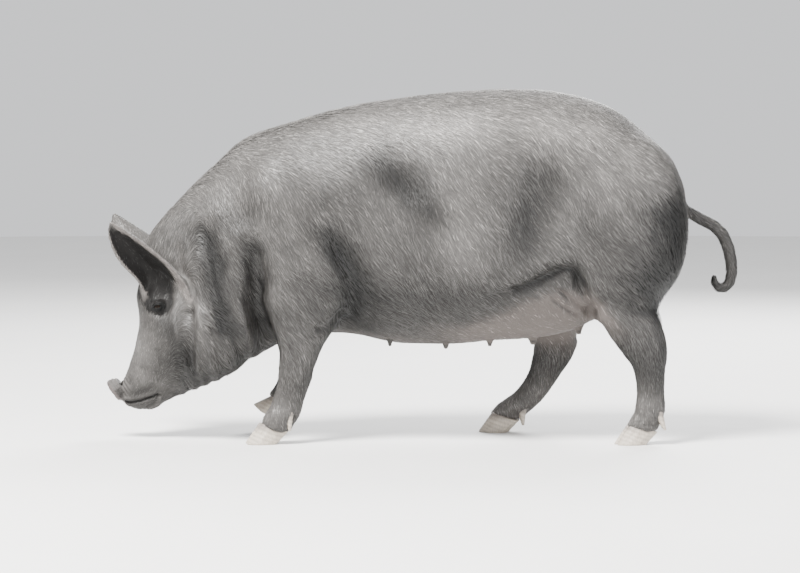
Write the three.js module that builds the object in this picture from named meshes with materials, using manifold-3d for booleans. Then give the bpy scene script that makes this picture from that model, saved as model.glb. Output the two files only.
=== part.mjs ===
// A full-grown sow, walking with her head lowered. Millimetres, +Z up, she faces -X.
// Her left side is -Y. The body is one smooth solid, parted by thin flat cuts.
import * as THREE from "three";
import { mergeVertices } from "three/addons/utils/BufferGeometryUtils.js";
import Module from "manifold-3d";

const wasm = await Module();
wasm.setup();

// ---------- driving dimensions ----------

const GAP = 0.6; // width of every parting cut
const CELL_MARGIN = 0.04; // share of a cell kept clear along its walls
const SNAP = 0.01; // vertices are rounded to this
const BODY_CELL = 51; // facet size of the trunk and neck
const HEAD_CELL = 26;
const LEG_CELL = 22.5;

// Trunk and neck: height of the back line, of the belly line and of the widest
// point, and half the width there, at stations from the poll to the buttock.
const TRUNK = [
  { name: "poll", at: -640, top: 478, bottom: 300, mid: 390, half: 46 },
  { name: "nape", at: -595, top: 542, bottom: 215, mid: 370, half: 72 },
  { name: "crest", at: -546, top: 599, bottom: 165, mid: 345, half: 98 },
  { name: "throat", at: -496, top: 646, bottom: 143, mid: 335, half: 124 },
  { name: "jowl", at: -446, top: 693, bottom: 158, mid: 345, half: 148 },
  { name: "neck_root", at: -397, top: 738, bottom: 190, mid: 390, half: 158 },
  { name: "withers", at: -347, top: 760, bottom: 209, mid: 430, half: 168 },
  { name: "brisket", at: -298, top: 775, bottom: 236, mid: 460, half: 178 },
  { name: "shoulder", at: -248, top: 790, bottom: 250, mid: 475, half: 190 },
  { name: "girth", at: -149, top: 817, bottom: 262, mid: 490, half: 212 },
  { name: "ribs", at: 0, top: 844, bottom: 238, mid: 495, half: 238 },
  { name: "barrel", at: 149, top: 859, bottom: 236, mid: 500, half: 247 },
  { name: "belly", at: 248, top: 866, bottom: 246, mid: 508, half: 242 },
  { name: "loin", at: 347, top: 864, bottom: 262, mid: 520, half: 228 },
  { name: "flank", at: 446, top: 849, bottom: 292, mid: 535, half: 210 },
  { name: "hip", at: 520, top: 822, bottom: 345, mid: 550, half: 192 },
  { name: "croup", at: 595, top: 767, bottom: 400, mid: 565, half: 160 },
  { name: "tailhead", at: 645, top: 720, bottom: 432, mid: 570, half: 126 },
  { name: "rump", at: 685, top: 672, bottom: 470, mid: 570, half: 84 },
  { name: "buttock", at: 708, top: 620, bottom: 520, mid: 570, half: 38 },
];

// Head: stations down the face from the poll. The forehead and nose bridge are
// "top", the jaw and chin are "bottom", both measured square to the head's axis.
const HEAD_ORIGIN = new THREE.Vector3(-540, 0, 440);
const HEAD_AXIS = new THREE.Vector3(-0.3, 0, -0.954).normalize();
const HEAD_UP = new THREE.Vector3(-0.954, 0, 0.3).normalize();
const HEAD = [
  { name: "poll", at: -48, top: 76, bottom: -120, mid: 10, half: 54 },
  { name: "ear_line", at: 0, top: 80, bottom: -150, mid: 0, half: 72 },
  { name: "brow", at: 60, top: 70, bottom: -170, mid: -8, half: 82 },
  { name: "eye", at: 123, top: 61, bottom: -180, mid: -30, half: 86 },
  { name: "cheek", at: 190, top: 52, bottom: -190, mid: -58, half: 92 },
  { name: "jaw", at: 250, top: 49, bottom: -166, mid: -55, half: 78 },
  { name: "nose_bridge", at: 300, top: 50, bottom: -115, mid: -28, half: 59 },
  { name: "muzzle", at: 332, top: 55, bottom: -80, mid: -8, half: 49 },
  { name: "lip", at: 354, top: 62, bottom: -58, mid: 2, half: 43 },
  { name: "chin", at: 374, top: 48, bottom: -40, mid: 4, half: 36 },
  { name: "chin_tip", at: 388, top: 22, bottom: -16, mid: 3, half: 22 },
];

// Legs: at each height, where the front and back of the leg are, the middle of
// the leg sideways and half its width. "out" is the distance from the midplane.
const LEG_FORE_LEFT = [
  { name: "arm", at: 430, front: -338, back: -128, out: 118, half: 74 },
  { name: "elbow", at: 345, front: -330, back: -132, out: 126, half: 62 },
  { name: "forearm", at: 290, front: -316, back: -156, out: 131, half: 50 },
  { name: "forearm_low", at: 245, front: -307, back: -184, out: 135, half: 41 },
  { name: "knee_top", at: 202, front: -297, back: -203, out: 138, half: 36 },
  { name: "knee", at: 165, front: -296, back: -214, out: 139, half: 34 },
  { name: "cannon", at: 118, front: -310, back: -229, out: 140, half: 27 },
  { name: "fetlock", at: 80, front: -325, back: -241, out: 140, half: 32 },
  { name: "pastern", at: 50, front: -344, back: -256, out: 140, half: 33 },
  { name: "coronet", at: 22, front: -356, back: -276, out: 140, half: 32 },
];
const LEG_FORE_RIGHT = [
  { name: "arm", at: 430, front: -335, back: -132, out: 118, half: 74 },
  { name: "elbow", at: 345, front: -326, back: -142, out: 126, half: 62 },
  { name: "forearm", at: 290, front: -312, back: -168, out: 131, half: 50 },
  { name: "forearm_low", at: 245, front: -305, back: -193, out: 135, half: 41 },
  { name: "knee_top", at: 205, front: -300, back: -212, out: 138, half: 36 },
  { name: "knee", at: 175, front: -302, back: -221, out: 139, half: 34 },
  { name: "cannon", at: 140, front: -308, back: -234, out: 140, half: 27 },
  { name: "fetlock", at: 108, front: -322, back: -246, out: 140, half: 32 },
  { name: "pastern", at: 82, front: -342, back: -264, out: 140, half: 33 },
  { name: "coronet", at: 48, front: -352, back: -282, out: 140, half: 31 },
];
const LEG_HIND_LEFT = [
  { name: "thigh", at: 480, front: 405, back: 688, out: 118, half: 96 },
  { name: "stifle", at: 405, front: 424, back: 662, out: 128, half: 84 },
  { name: "gaskin", at: 347, front: 456, back: 617, out: 138, half: 62 },
  { name: "shank", at: 308, front: 482, back: 629, out: 144, half: 47 },
  { name: "shank_low", at: 263, front: 511, back: 645, out: 148, half: 38 },
  { name: "hock", at: 227, front: 541, back: 649, out: 150, half: 35 },
  { name: "hock_low", at: 182, front: 569, back: 645, out: 150, half: 30 },
  { name: "cannon", at: 123, front: 577, back: 644, out: 150, half: 27 },
  { name: "fetlock", at: 88, front: 577, back: 646, out: 150, half: 32 },
  { name: "pastern", at: 55, front: 559, back: 634, out: 150, half: 33 },
  { name: "coronet", at: 24, front: 543, back: 622, out: 150, half: 32 },
];
const LEG_HIND_RIGHT = [
  { name: "thigh", at: 480, front: 372, back: 660, out: 118, half: 96 },
  { name: "stifle", at: 405, front: 356, back: 612, out: 126, half: 82 },
  { name: "gaskin", at: 330, front: 344, back: 515, out: 132, half: 60 },
  { name: "shank", at: 275, front: 338, back: 462, out: 136, half: 45 },
  { name: "shank_low", at: 242, front: 337, back: 456, out: 139, half: 39 },
  { name: "hock", at: 205, front: 341, back: 441, out: 140, half: 36 },
  { name: "hock_low", at: 168, front: 334, back: 418, out: 140, half: 31 },
  { name: "cannon", at: 128, front: 314, back: 393, out: 140, half: 28 },
  { name: "fetlock", at: 96, front: 289, back: 372, out: 140, half: 32 },
  { name: "pastern", at: 66, front: 247, back: 345, out: 140, half: 33 },
  { name: "coronet", at: 28, front: 212, back: 306, out: 140, half: 32 },
];

// Muscle and fat masses: centre, half sizes and pitch about the sideways axis.
const MASSES = [
  { name: "shoulder_blade", x: -232, out: 112, z: 500, a: 108, b: 98, c: 225, pitch: -28 },
  { name: "shoulder_point", x: -270, out: 118, z: 385, a: 86, b: 82, c: 110, pitch: 0 },
  { name: "jowl", x: -455, out: 82, z: 262, a: 92, b: 76, c: 108, pitch: 30 },
  { name: "cheek", x: -560, out: 54, z: 236, a: 72, b: 60, c: 86, pitch: 0 },
  { name: "brow", x: -606, out: 56, z: 352, a: 34, b: 34, c: 34, pitch: 0 },
  { name: "udder", x: 350, out: 66, z: 326, a: 150, b: 78, c: 58, pitch: -4 },
];
// The bowl each ear opens from
const EAR_BOWL = { x: -588, out: 104, z: 382, a: 40, b: 34, c: 44, pitch: 20 };
const HAM_LEFT = { x: 566, out: 104, z: 520, a: 132, b: 104, c: 215, pitch: 8 };
const HAM_RIGHT = { x: 548, out: 104, z: 520, a: 140, b: 104, c: 210, pitch: -12 };

// Creases of the skin: the line they follow in side view, their width and depth.
const FOLDS = [
  { name: "before_shoulder", line: [[-352, 420], [-350, 330], [-326, 205]], wide: 26, deep: 26 },
  { name: "behind_elbow", line: [[-112, 470], [-104, 380], [-128, 280]], wide: 46, deep: 15 },
  { name: "flank_hollow", line: [[362, 660], [345, 520]], wide: 50, deep: 13 },
  { name: "flank_fold", line: [[250, 345], [340, 396], [409, 432], [461, 325]], wide: 24, deep: 15 },
  { name: "cheek_fold", line: [[-528, 380], [-512, 232], [-520, 130]], wide: 24, deep: 9 },
];

// How widely each form is rounded into the rest of the body
const SOFTEN = { head: 34, mass: 46, ham: 60, leg: 34, bowl: 22 };
const STUMP = 60; // how far a leg's flesh goes on below its cut, inside the trunk's solid

// Feet
const HOOF_LENGTH = 76;
const HOOF_WIDTH = 31;
const HOOF_CLEFT = 6;
const HOOF_TOE_HEIGHT = 46;
const HOOF_HEEL_HEIGHT = 22;
const HOOF_SLOPE = 33; // how far the horn leans back from sole to coronet
const HOOF_POINTS = 10; // corners round a claw
const SOLE_SHARE = 0.96; // size of the sole against the wall above it
const SOLE_ROUND = 0.06; // share of the height in which the sole rounds into the wall
const CORONET_TAPER = 0.1; // how much narrower the claw is at the coronet
const TOE_TAPER = 0.42; // how much the outer wall draws in at the toe
const CLEFT_SHARE = 0.42; // the flat side along the cleft against the outer wall
const DEWCLAW_LENGTH = 40;
const DEWCLAW_RADIUS = 10;
const DEWCLAW_OUT = 19; // from the middle of the foot
const TOES_OUT = 13; // how far each foot turns outward, degrees

const FEET = {
  fore_left: { heel: -302, side: -1, out: 140, lift: 0, pitch: 0, claw: [-256, 74], lean: 12 },
  fore_right: { heel: -304, side: 1, out: 140, lift: 30, pitch: 25, claw: [-258, 100], lean: 10 },
  hind_left: { heel: 598, side: -1, out: 150, lift: 0, pitch: 0, claw: [640, 76], lean: -4 },
  hind_right: { heel: 275, side: 1, out: 140, lift: 0, pitch: 0, claw: [324, 58], lean: 12 },
};

// The space each leg is cut from: the height of its top, how far out it starts and
// its front and back. Below "low_top" it reaches "ahead" further for the foot.
const LEG_SPACE_WIDE = 260;
const LEG_SPACES = {
  fore_left: { cut: 262, inner: 62, front: -327, back: -60, low_top: 120, ahead: 120 },
  fore_right: { cut: 262, inner: 62, front: -327, back: -60, low_top: 120, ahead: 120 },
  hind_left: { cut: 300, inner: 84, front: 478, back: 700, low_top: 200, ahead: 60 },
  hind_right: { cut: 244, inner: 84, front: 312, back: 520, low_top: 200, ahead: 150 },
};

// Head furniture
const EYE_RADIUS = 12.5;
const EYE_AT = { x: -588, z: 331 };
const EYE_SHOWING = 4.5;
const EYE_AHEAD = 3; // the ball stands this far in front of the slit's middle
const MOUTH_FRONT = new THREE.Vector2(-706, 97);
const MOUTH_CORNER = new THREE.Vector2(-616, 112);
const SNOUT_HALF_WIDTH = 43;
const SNOUT_HALF_HEIGHT = 30;
const SNOUT_THICK = 14;
const SNOUT_CENTRE = new THREE.Vector3(-710, 0, 117);
const SNOUT_PITCH = 38; // how far the disc looks below the horizon, degrees
const NOSTRIL_OUT = 15;
const NOSTRIL_SIZE = [9, 6.5, 15]; // half height, half width, half depth
const EAR_THICK = 8;
const EAR_STEPS = 7; // facets across each wall of an ear
const EAR_ROOT = [-600, 340];
const EAR_RIGHT = { turn: -3, size: 1.04, ahead: 4, raise: 11 }; // pricked a little higher
const TEAT_RADIUS = 9;
const TEAT_LENGTH = 24;
const TEAT_OUT = 62;
const TEAT_SPLAY = 0.25; // lean outward, radians
const TEAT_ROWS = [-205, -25, 113, 221, 327, 440];
const TAIL_LINE = [
  [660, 590],
  [700, 572],
  [738, 548],
  [776, 530],
  [804, 501],
  [819, 456],
  [824, 414],
  [817, 384],
  [799, 371],
  [784, 382],
  [780, 404],
];
const TAIL_RADII = [18, 15, 13.5, 14, 14.5, 14.5, 13.5, 12.5, 11, 9, 5];

const HIDE = { color: 0x464442, roughness: 0.68, metalness: 0 };
const EAR_SKIN = { color: 0x3f3d3a, roughness: 0.72, metalness: 0 };
const SNOUT_SKIN = { color: 0x544e4c, roughness: 0.5, metalness: 0 };
const HORN = { color: 0xaaa095, roughness: 0.45, metalness: 0 };
const EYE_GLOSS = { color: 0x1d1612, roughness: 0.08, metalness: 0 };

// ---------- smooth curves through named stations ----------

// A monotone cubic through the stations, so a profile never overshoots them.
function profile(rows, key) {
  const sorted = [...rows].sort((a, b) => a.at - b.at);
  const x = sorted.map((row) => row.at);
  const y = sorted.map((row) => row[key]);
  const last = x.length - 1;
  const slope = x.slice(1).map((_, i) => (y[i + 1] - y[i]) / (x[i + 1] - x[i]));
  const tangent = x.map((_, i) => {
    if (i === 0) return slope[0];
    if (i === last) return slope[last - 1];
    const before = slope[i - 1];
    const after = slope[i];
    return before * after <= 0 ? 0 : (2 * before * after) / (before + after);
  });
  return (t) => {
    const at = THREE.MathUtils.clamp(t, x[0], x[last]);
    let i = 0;
    while (i < last - 1 && at > x[i + 1]) i += 1;
    const h = x[i + 1] - x[i];
    const s = (at - x[i]) / h;
    const rise = s * s * (3 - 2 * s);
    const lead = s * (1 - s) * (1 - s) * h * tangent[i];
    const trail = s * s * (s - 1) * h * tangent[i + 1];
    return y[i] * (1 - rise) + y[i + 1] * rise + lead + trail;
  };
}

// ---------- fields: negative inside the body, about a distance outside ----------

function blend(a, b, reach) {
  const h = Math.max(reach - Math.abs(a - b), 0) / reach;
  return Math.min(a, b) - (h * h * reach) / 4;
}

function crop(a, b, reach) {
  return -blend(-a, -b, reach);
}

// Distance from the rim of an oval section, measured along the ray to its centre.
function oval(side, rise, half, reach, power) {
  const wide = Math.abs(side) / half;
  const high = Math.abs(rise) / reach;
  const norm = Math.pow(Math.pow(wide, power) + Math.pow(high, power), 1 / power);
  if (norm < 1e-4) return -Math.min(half, reach);
  return Math.hypot(side, rise) * (1 - 1 / norm);
}

// A body whose sections stand square to an axis: each is an egg with its own top,
// bottom, widest point and half width.
function eggBody(rows, origin, axis, up, power, roundEnd) {
  const top = profile(rows, "top");
  const bottom = profile(rows, "bottom");
  const mid = profile(rows, "mid");
  const half = profile(rows, "half");
  const first = Math.min(...rows.map((row) => row.at));
  const last = Math.max(...rows.map((row) => row.at));
  return (x, y, z) => {
    const dx = x - origin.x;
    const dz = z - origin.z;
    const t = dx * axis.x + dz * axis.z;
    const v = dx * up.x + dz * up.z - mid(t);
    const reach = v > 0 ? top(t) - mid(t) : mid(t) - bottom(t);
    const ring = oval(y, v, half(t), reach, power);
    return crop(ring, Math.max(first - t, t - last), roundEnd);
  };
}

function legBody(rows, side) {
  const front = profile(rows, "front");
  const back = profile(rows, "back");
  const out = profile(rows, "out");
  const half = profile(rows, "half");
  const lowest = Math.min(...rows.map((row) => row.at));
  const highest = Math.max(...rows.map((row) => row.at));
  return (x, y, z, floor) => {
    const centre = (front(z) + back(z)) / 2;
    const reach = (back(z) - front(z)) / 2;
    const ring = oval(y - side * out(z), x - centre, half(z), reach, 2.2);
    const low = floor === undefined ? lowest : floor;
    return crop(ring, Math.max(low - z, z - highest), 30);
  };
}

function ellipsoid(mass, side) {
  const turn = THREE.MathUtils.degToRad(mass.pitch);
  const cos = Math.cos(turn);
  const sin = Math.sin(turn);
  return (x, y, z) => {
    const dx = x - mass.x;
    const dz = z - mass.z;
    const u = (dx * cos - dz * sin) / mass.a;
    const w = (dx * sin + dz * cos) / mass.c;
    const v = (y - side * mass.out) / mass.b;
    const k0 = Math.hypot(u, v, w);
    const k1 = Math.hypot(u / mass.a, v / mass.b, w / mass.c);
    return k1 < 1e-6 ? -mass.b : (k0 * (k0 - 1)) / k1;
  };
}

function distanceToLine(x, z, line) {
  let best = Infinity;
  for (let i = 0; i + 1 < line.length; i += 1) {
    const [ax, az] = line[i];
    const [bx, bz] = line[i + 1];
    const run = (x - ax) * (bx - ax) + (z - az) * (bz - az);
    const t = THREE.MathUtils.clamp(run / ((bx - ax) ** 2 + (bz - az) ** 2), 0, 1);
    best = Math.min(best, Math.hypot(x - ax - t * (bx - ax), z - az - t * (bz - az)));
  }
  return best;
}

function foldDepth(x, y, z) {
  const flank = THREE.MathUtils.smoothstep(Math.abs(y), 40, 105);
  if (flank === 0) return 0;
  let depth = 0;
  for (const fold of FOLDS) {
    const away = distanceToLine(x, z, fold.line) / fold.wide;
    depth += fold.deep * Math.exp(-away * away);
  }
  return depth * flank;
}

const X_AXIS = new THREE.Vector3(1, 0, 0);
const Z_AXIS = new THREE.Vector3(0, 0, 1);
const trunkField = eggBody(TRUNK, new THREE.Vector3(), X_AXIS, Z_AXIS, 2.15, 30);
const headField = eggBody(HEAD, HEAD_ORIGIN, HEAD_AXIS, HEAD_UP, 2.1, 20);
const massFields = [-1, 1].flatMap((side) => MASSES.map((mass) => ellipsoid(mass, side)));
const bowlFields = [-1, 1].map((side) => ellipsoid(EAR_BOWL, side));
const hamFields = [ellipsoid(HAM_LEFT, -1), ellipsoid(HAM_RIGHT, 1)];
const legFields = {
  fore_left: legBody(LEG_FORE_LEFT, -1),
  fore_right: legBody(LEG_FORE_RIGHT, 1),
  hind_left: legBody(LEG_HIND_LEFT, -1),
  hind_right: legBody(LEG_HIND_RIGHT, 1),
};

// The whole body. With "stumps", the legs stop a little below where they are cut.
function bodyField(x, y, z, stumps) {
  let value = trunkField(x, y, z);
  value = blend(value, headField(x, y, z), SOFTEN.head);
  for (const field of massFields) value = blend(value, field(x, y, z), SOFTEN.mass);
  for (const field of hamFields) value = blend(value, field(x, y, z), SOFTEN.ham);
  for (const [name, field] of Object.entries(legFields)) {
    const floor = stumps ? LEG_SPACES[name].cut - STUMP : undefined;
    value = blend(value, field(x, y, z, floor), SOFTEN.leg);
  }
  for (const field of bowlFields) value = crop(value, -field(x, y, z), SOFTEN.bowl);
  return value + foldDepth(x, y, z);
}

// ---------- turning a field into a closed surface ----------

const CORNERS = [0, 1, 2, 3, 4, 5, 6, 7].map((i) => [i & 1, (i >> 1) & 1, (i >> 2) & 1]);
const EDGES = [];
for (let a = 0; a < 8; a += 1) {
  for (const bit of [1, 2, 4]) {
    if (!(a & bit)) EDGES.push([a, a | bit]);
  }
}

// Slides a point along the field's slope towards the surface, inside its own cell.
function settle(point, field, step, cell) {
  for (let pass = 0; pass < 4; pass += 1) {
    const { x, y, z } = point;
    const value = field(x, y, z);
    const slope = new THREE.Vector3(
      field(x + step, y, z) - field(x - step, y, z),
      field(x, y + step, z) - field(x, y - step, z),
      field(x, y, z + step) - field(x, y, z - step),
    ).divideScalar(2 * step);
    const steep = slope.lengthSq();
    if (steep < 0.04) break;
    point.addScaledVector(slope, -value / steep);
    point.clamp(cell.min, cell.max);
  }
  return point;
}

// One vertex in each grid cell that the surface crosses, joined across the grid's
// edges. The field is closed off at the walls of the box.
function surfaceOf(field, low, high, cell) {
  const count = low.map((v, i) => Math.ceil((high[i] - v) / cell) + 1);
  const at = (i, j, k) => (k * count[1] + j) * count[0] + i;
  const values = new Float64Array(count[0] * count[1] * count[2]);
  for (let k = 0; k < count[2]; k += 1) {
    for (let j = 0; j < count[1]; j += 1) {
      for (let i = 0; i < count[0]; i += 1) {
        const index = [i, j, k];
        const wall = index.some((v, axis) => v === 0 || v === count[axis] - 1);
        const value = field(low[0] + i * cell, low[1] + j * cell, low[2] + k * cell);
        values[at(i, j, k)] = wall ? Math.max(value, cell / 4) : value;
      }
    }
  }
  const position = [];
  const vertexOf = new Map();
  for (let k = 0; k + 1 < count[2]; k += 1) {
    for (let j = 0; j + 1 < count[1]; j += 1) {
      for (let i = 0; i + 1 < count[0]; i += 1) {
        const value = CORNERS.map(([a, b, c]) => values[at(i + a, j + b, k + c)]);
        const sum = new THREE.Vector3();
        let crossings = 0;
        for (const [a, b] of EDGES) {
          if (value[a] < 0 === value[b] < 0) continue;
          const t = value[a] / (value[a] - value[b]);
          const from = new THREE.Vector3(...CORNERS[a]);
          sum.add(from.lerp(new THREE.Vector3(...CORNERS[b]), t));
          crossings += 1;
        }
        if (crossings === 0) continue;
        sum.divideScalar(crossings).add(new THREE.Vector3(i, j, k)).multiplyScalar(cell);
        sum.add(new THREE.Vector3(...low));
        const corner = new THREE.Vector3(i, j, k).multiplyScalar(cell);
        corner.add(new THREE.Vector3(...low));
        const room = new THREE.Box3(corner, corner.clone().addScalar(cell));
        settle(sum, field, 1, room.expandByScalar(-cell * CELL_MARGIN));
        vertexOf.set(at(i, j, k), position.length / 3);
        position.push(sum.x, sum.y, sum.z);
      }
    }
  }
  return stitch(values, vertexOf, position, count, at);
}

function stitch(values, vertexOf, position, count, at) {
  const index = [];
  const point = (v) => new THREE.Vector3().fromArray(position, v * 3);
  const quad = (a, b, c, d) => {
    const short = point(a).distanceTo(point(c)) < point(b).distanceTo(point(d));
    index.push(...(short ? [a, b, c, a, c, d] : [a, b, d, b, c, d]));
  };
  for (let k = 0; k + 1 < count[2]; k += 1) {
    for (let j = 0; j + 1 < count[1]; j += 1) {
      for (let i = 0; i + 1 < count[0]; i += 1) {
        const here = values[at(i, j, k)] < 0;
        const cell = (a, b, c) => vertexOf.get(at(i - a, j - b, k - c));
        const rings = [
          [values[at(i + 1, j, k)] < 0, cell(0, 1, 1), cell(0, 0, 1), cell(0, 0, 0), cell(0, 1, 0)],
          [values[at(i, j + 1, k)] < 0, cell(1, 0, 1), cell(1, 0, 0), cell(0, 0, 0), cell(0, 0, 1)],
          [values[at(i, j, k + 1)] < 0, cell(1, 1, 0), cell(0, 1, 0), cell(0, 0, 0), cell(1, 0, 0)],
        ];
        for (const [there, a, b, c, d] of rings) {
          if (here === there) continue;
          if (here) quad(a, b, c, d);
          else quad(d, c, b, a);
        }
      }
    }
  }
  return meshOf(position, index);
}

// ---------- solids ----------

function meshOf(position, index) {
  const geometry = new THREE.BufferGeometry();
  geometry.setAttribute("position", new THREE.Float32BufferAttribute(position, 3));
  geometry.setIndex(index);
  return geometry;
}

function signedVolume(geometry) {
  const p = geometry.attributes.position;
  const index = geometry.index.array;
  const corner = [new THREE.Vector3(), new THREE.Vector3(), new THREE.Vector3()];
  let volume = 0;
  for (let i = 0; i < index.length; i += 3) {
    corner.forEach((v, n) => v.fromBufferAttribute(p, index[i + n]));
    volume += corner[0].dot(corner[1].clone().cross(corner[2])) / 6;
  }
  return volume;
}

function toSolid(geometry) {
  let clean = geometry.clone();
  clean.deleteAttribute("normal");
  clean.deleteAttribute("uv");
  clean = mergeVertices(clean, 1e-4);
  const triangles = Uint32Array.from(clean.index.array);
  if (signedVolume(clean) < 0) triangles.reverse();
  return new wasm.Manifold(
    new wasm.Mesh({
      numProp: 3,
      vertProperties: Float32Array.from(clean.attributes.position.array),
      triVerts: triangles,
    }),
  );
}

// True if every edge is shared by two triangles that run along it both ways.
function isClosed(geometry) {
  const index = geometry.index.array;
  const seen = new Set();
  for (let i = 0; i < index.length; i += 3) {
    for (let e = 0; e < 3; e += 1) seen.add(`${index[i + e]} ${index[i + ((e + 1) % 3)]}`);
  }
  return seen.size === index.length;
}

// The surfaces of fields as solids, all on one grid. Where two sheets meet in one
// cell, a slightly finer grid parts them.
function solidsOf(fields, low, high, cell) {
  for (let finer = cell; finer > cell * 0.8; finer *= 0.985) {
    const surfaces = fields.map((field) => surfaceOf(field, low, high, finer));
    if (surfaces.every(isClosed)) return surfaces.map(toSolid);
  }
  throw new Error("no closed surface was found");
}

// The largest body of a solid, as a geometry.
function toGeometry(solid) {
  const parts = solid.decompose();
  const biggest = parts.reduce((a, b) => (a.volume() > b.volume() ? a : b));
  const mesh = biggest.getMesh();
  const rounded = Array.from(mesh.vertProperties, (v) => Math.round(v / SNAP) * SNAP);
  const geometry = mergeVertices(meshOf(rounded, Array.from(mesh.triVerts)), SNAP / 4);
  geometry.setIndex(withoutSlivers(Array.from(geometry.index.array)));
  geometry.computeVertexNormals();
  return geometry;
}

// Leaves out triangles that rounding has closed up, and pairs left back to back.
function withoutSlivers(index) {
  const kept = new Map();
  for (let i = 0; i < index.length; i += 3) {
    const [a, b, c] = index.slice(i, i + 3);
    if (a === b || b === c || c === a) continue;
    const key = [a, b, c].sort((p, q) => p - q).join(" ");
    if (kept.has(key)) kept.delete(key);
    else kept.set(key, [a, b, c]);
  }
  return [...kept.values()].flat();
}

// A closed skin over a row of rings with equal point counts.
function loft(rings) {
  const count = rings[0].length;
  const position = rings.flat().flatMap((p) => [p.x, p.y, p.z]);
  const index = [];
  for (let r = 0; r + 1 < rings.length; r += 1) {
    for (let i = 0; i < count; i += 1) {
      const a = r * count + i;
      const b = r * count + ((i + 1) % count);
      index.push(a, b, b + count, a, b + count, a + count);
    }
  }
  const caps = [
    [0, true],
    [rings.length - 1, false],
  ];
  for (const [r, flip] of caps) {
    const centre = new THREE.Vector3();
    rings[r].forEach((p) => centre.addScaledVector(p, 1 / count));
    const hub = position.length / 3;
    position.push(centre.x, centre.y, centre.z);
    for (let i = 0; i < count; i += 1) {
      const a = r * count + i;
      const b = r * count + ((i + 1) % count);
      index.push(...(flip ? [hub, b, a] : [hub, a, b]));
    }
  }
  return meshOf(position, index);
}

// A block with one face on a plane: it fills the side that "toward" points to.
function halfSpace(point, toward, size) {
  const block = new THREE.BoxGeometry(size, size, size);
  block.translate(0, 0, size / 2);
  const turn = new THREE.Quaternion().setFromUnitVectors(Z_AXIS, toward.clone().normalize());
  block.applyQuaternion(turn);
  block.translate(point.x, point.y, point.z);
  return toSolid(block);
}

function legBlock(name, grow) {
  const side = FEET[name].side;
  const space = LEG_SPACES[name];
  const wide = LEG_SPACE_WIDE;
  const boxes = [
    { front: space.front, low: space.low_top - 40, high: space.cut },
    { front: space.front - space.ahead, low: -60, high: space.low_top },
  ];
  const solids = boxes.map(({ front, low, high }) => {
    const size = [space.back - front + 2 * grow, wide + 2 * grow, high - low + grow];
    const block = new THREE.BoxGeometry(...size);
    const out = side * (space.inner + wide / 2);
    block.translate((space.back + front) / 2, out, (high + low + grow) / 2);
    return toSolid(block);
  });
  return solids[0].add(solids[1]);
}

// ---------- feet ----------

// The plane between the horn and the flesh above it, in a foot's own frame:
// u runs from heel to toe, out sideways and z up.
function coronetHeight(u) {
  const along = (u + HOOF_SLOPE) / HOOF_LENGTH;
  return HOOF_HEEL_HEIGHT + (HOOF_TOE_HEIGHT - HOOF_HEEL_HEIGHT) * along;
}

// One claw: a slanting prism of horn, flat on its sole and along the cleft, with
// a rounded wall that narrows to the toe.
function clawRings() {
  const levels = [0, SOLE_ROUND, 1];
  return levels.map((level, n) => {
    const ring = [];
    const shrink = n === 0 ? SOLE_SHARE : 1 - CORONET_TAPER * level;
    for (let i = 0; i < HOOF_POINTS; i += 1) {
      const turn = (2 * Math.PI * i) / HOOF_POINTS;
      const s = Math.sin(turn);
      const c = Math.cos(turn);
      const toe = THREE.MathUtils.clamp(c, 0, 1);
      const wall = s > 0 ? 1 - TOE_TAPER * toe * toe : CLEFT_SHARE;
      const bulge = Math.sign(s) * Math.abs(s) ** 0.8 * wall * shrink;
      const u = HOOF_LENGTH * (0.5 + 0.5 * c * shrink) - HOOF_SLOPE * level;
      ring.push(new THREE.Vector3(-u, HOOF_WIDTH * (0.3 + 0.7 * bulge), level * coronetHeight(u)));
    }
    return ring;
  });
}

// Puts a geometry made in a foot's frame in its place under the body. The foot turns
// about the middle of its sole, so that it stays under the leg.
function placeFoot(geometry, foot) {
  const middle = HOOF_LENGTH / 2;
  geometry.translate(middle, 0, 0);
  geometry.rotateZ(-foot.side * THREE.MathUtils.degToRad(TOES_OUT));
  geometry.translate(-middle, 0, 0);
  geometry.rotateY(THREE.MathUtils.degToRad(foot.pitch));
  geometry.translate(foot.heel, foot.side * foot.out, foot.lift);
  return geometry;
}

function makeClaw(foot, outer) {
  const geometry = loft(clawRings());
  const away = outer ? foot.side : -foot.side;
  geometry.scale(1, away, 1);
  geometry.translate(0, away * HOOF_CLEFT * 0.5, 0);
  return toSolid(placeFoot(geometry, foot));
}

// What lies below the coronet of a foot, to be taken off the leg.
function hoofSpace(foot) {
  const rise = (HOOF_TOE_HEIGHT - HOOF_HEEL_HEIGHT) / HOOF_LENGTH;
  const block = new THREE.BoxGeometry(400, 200, 200);
  block.translate(0, 0, -100);
  block.rotateY(Math.atan(rise));
  block.translate(0, 0, coronetHeight(0) + GAP);
  return toSolid(placeFoot(block, foot));
}

function makeDewclaw(foot, outer, grow) {
  const points = 6;
  const levels = [
    { down: -grow / DEWCLAW_LENGTH, radius: 0.9 },
    { down: 0.4, radius: 1 },
    { down: 1, radius: 0.34 },
  ];
  const rings = levels.map(({ down, radius }) =>
    Array.from({ length: points }, (_, i) => {
      const turn = (2 * Math.PI * i) / points;
      const reach = radius * DEWCLAW_RADIUS + grow;
      const forward = reach * Math.cos(turn) - foot.lean * down;
      return new THREE.Vector3(forward, reach * Math.sin(turn), -down * DEWCLAW_LENGTH);
    }),
  );
  const geometry = loft(rings);
  const [x, z] = foot.claw;
  const away = outer ? foot.side : -foot.side;
  geometry.translate(x, foot.side * foot.out + away * DEWCLAW_OUT, z);
  return toSolid(geometry);
}

// ---------- ears, eyes, snout, tail, teats ----------

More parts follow.
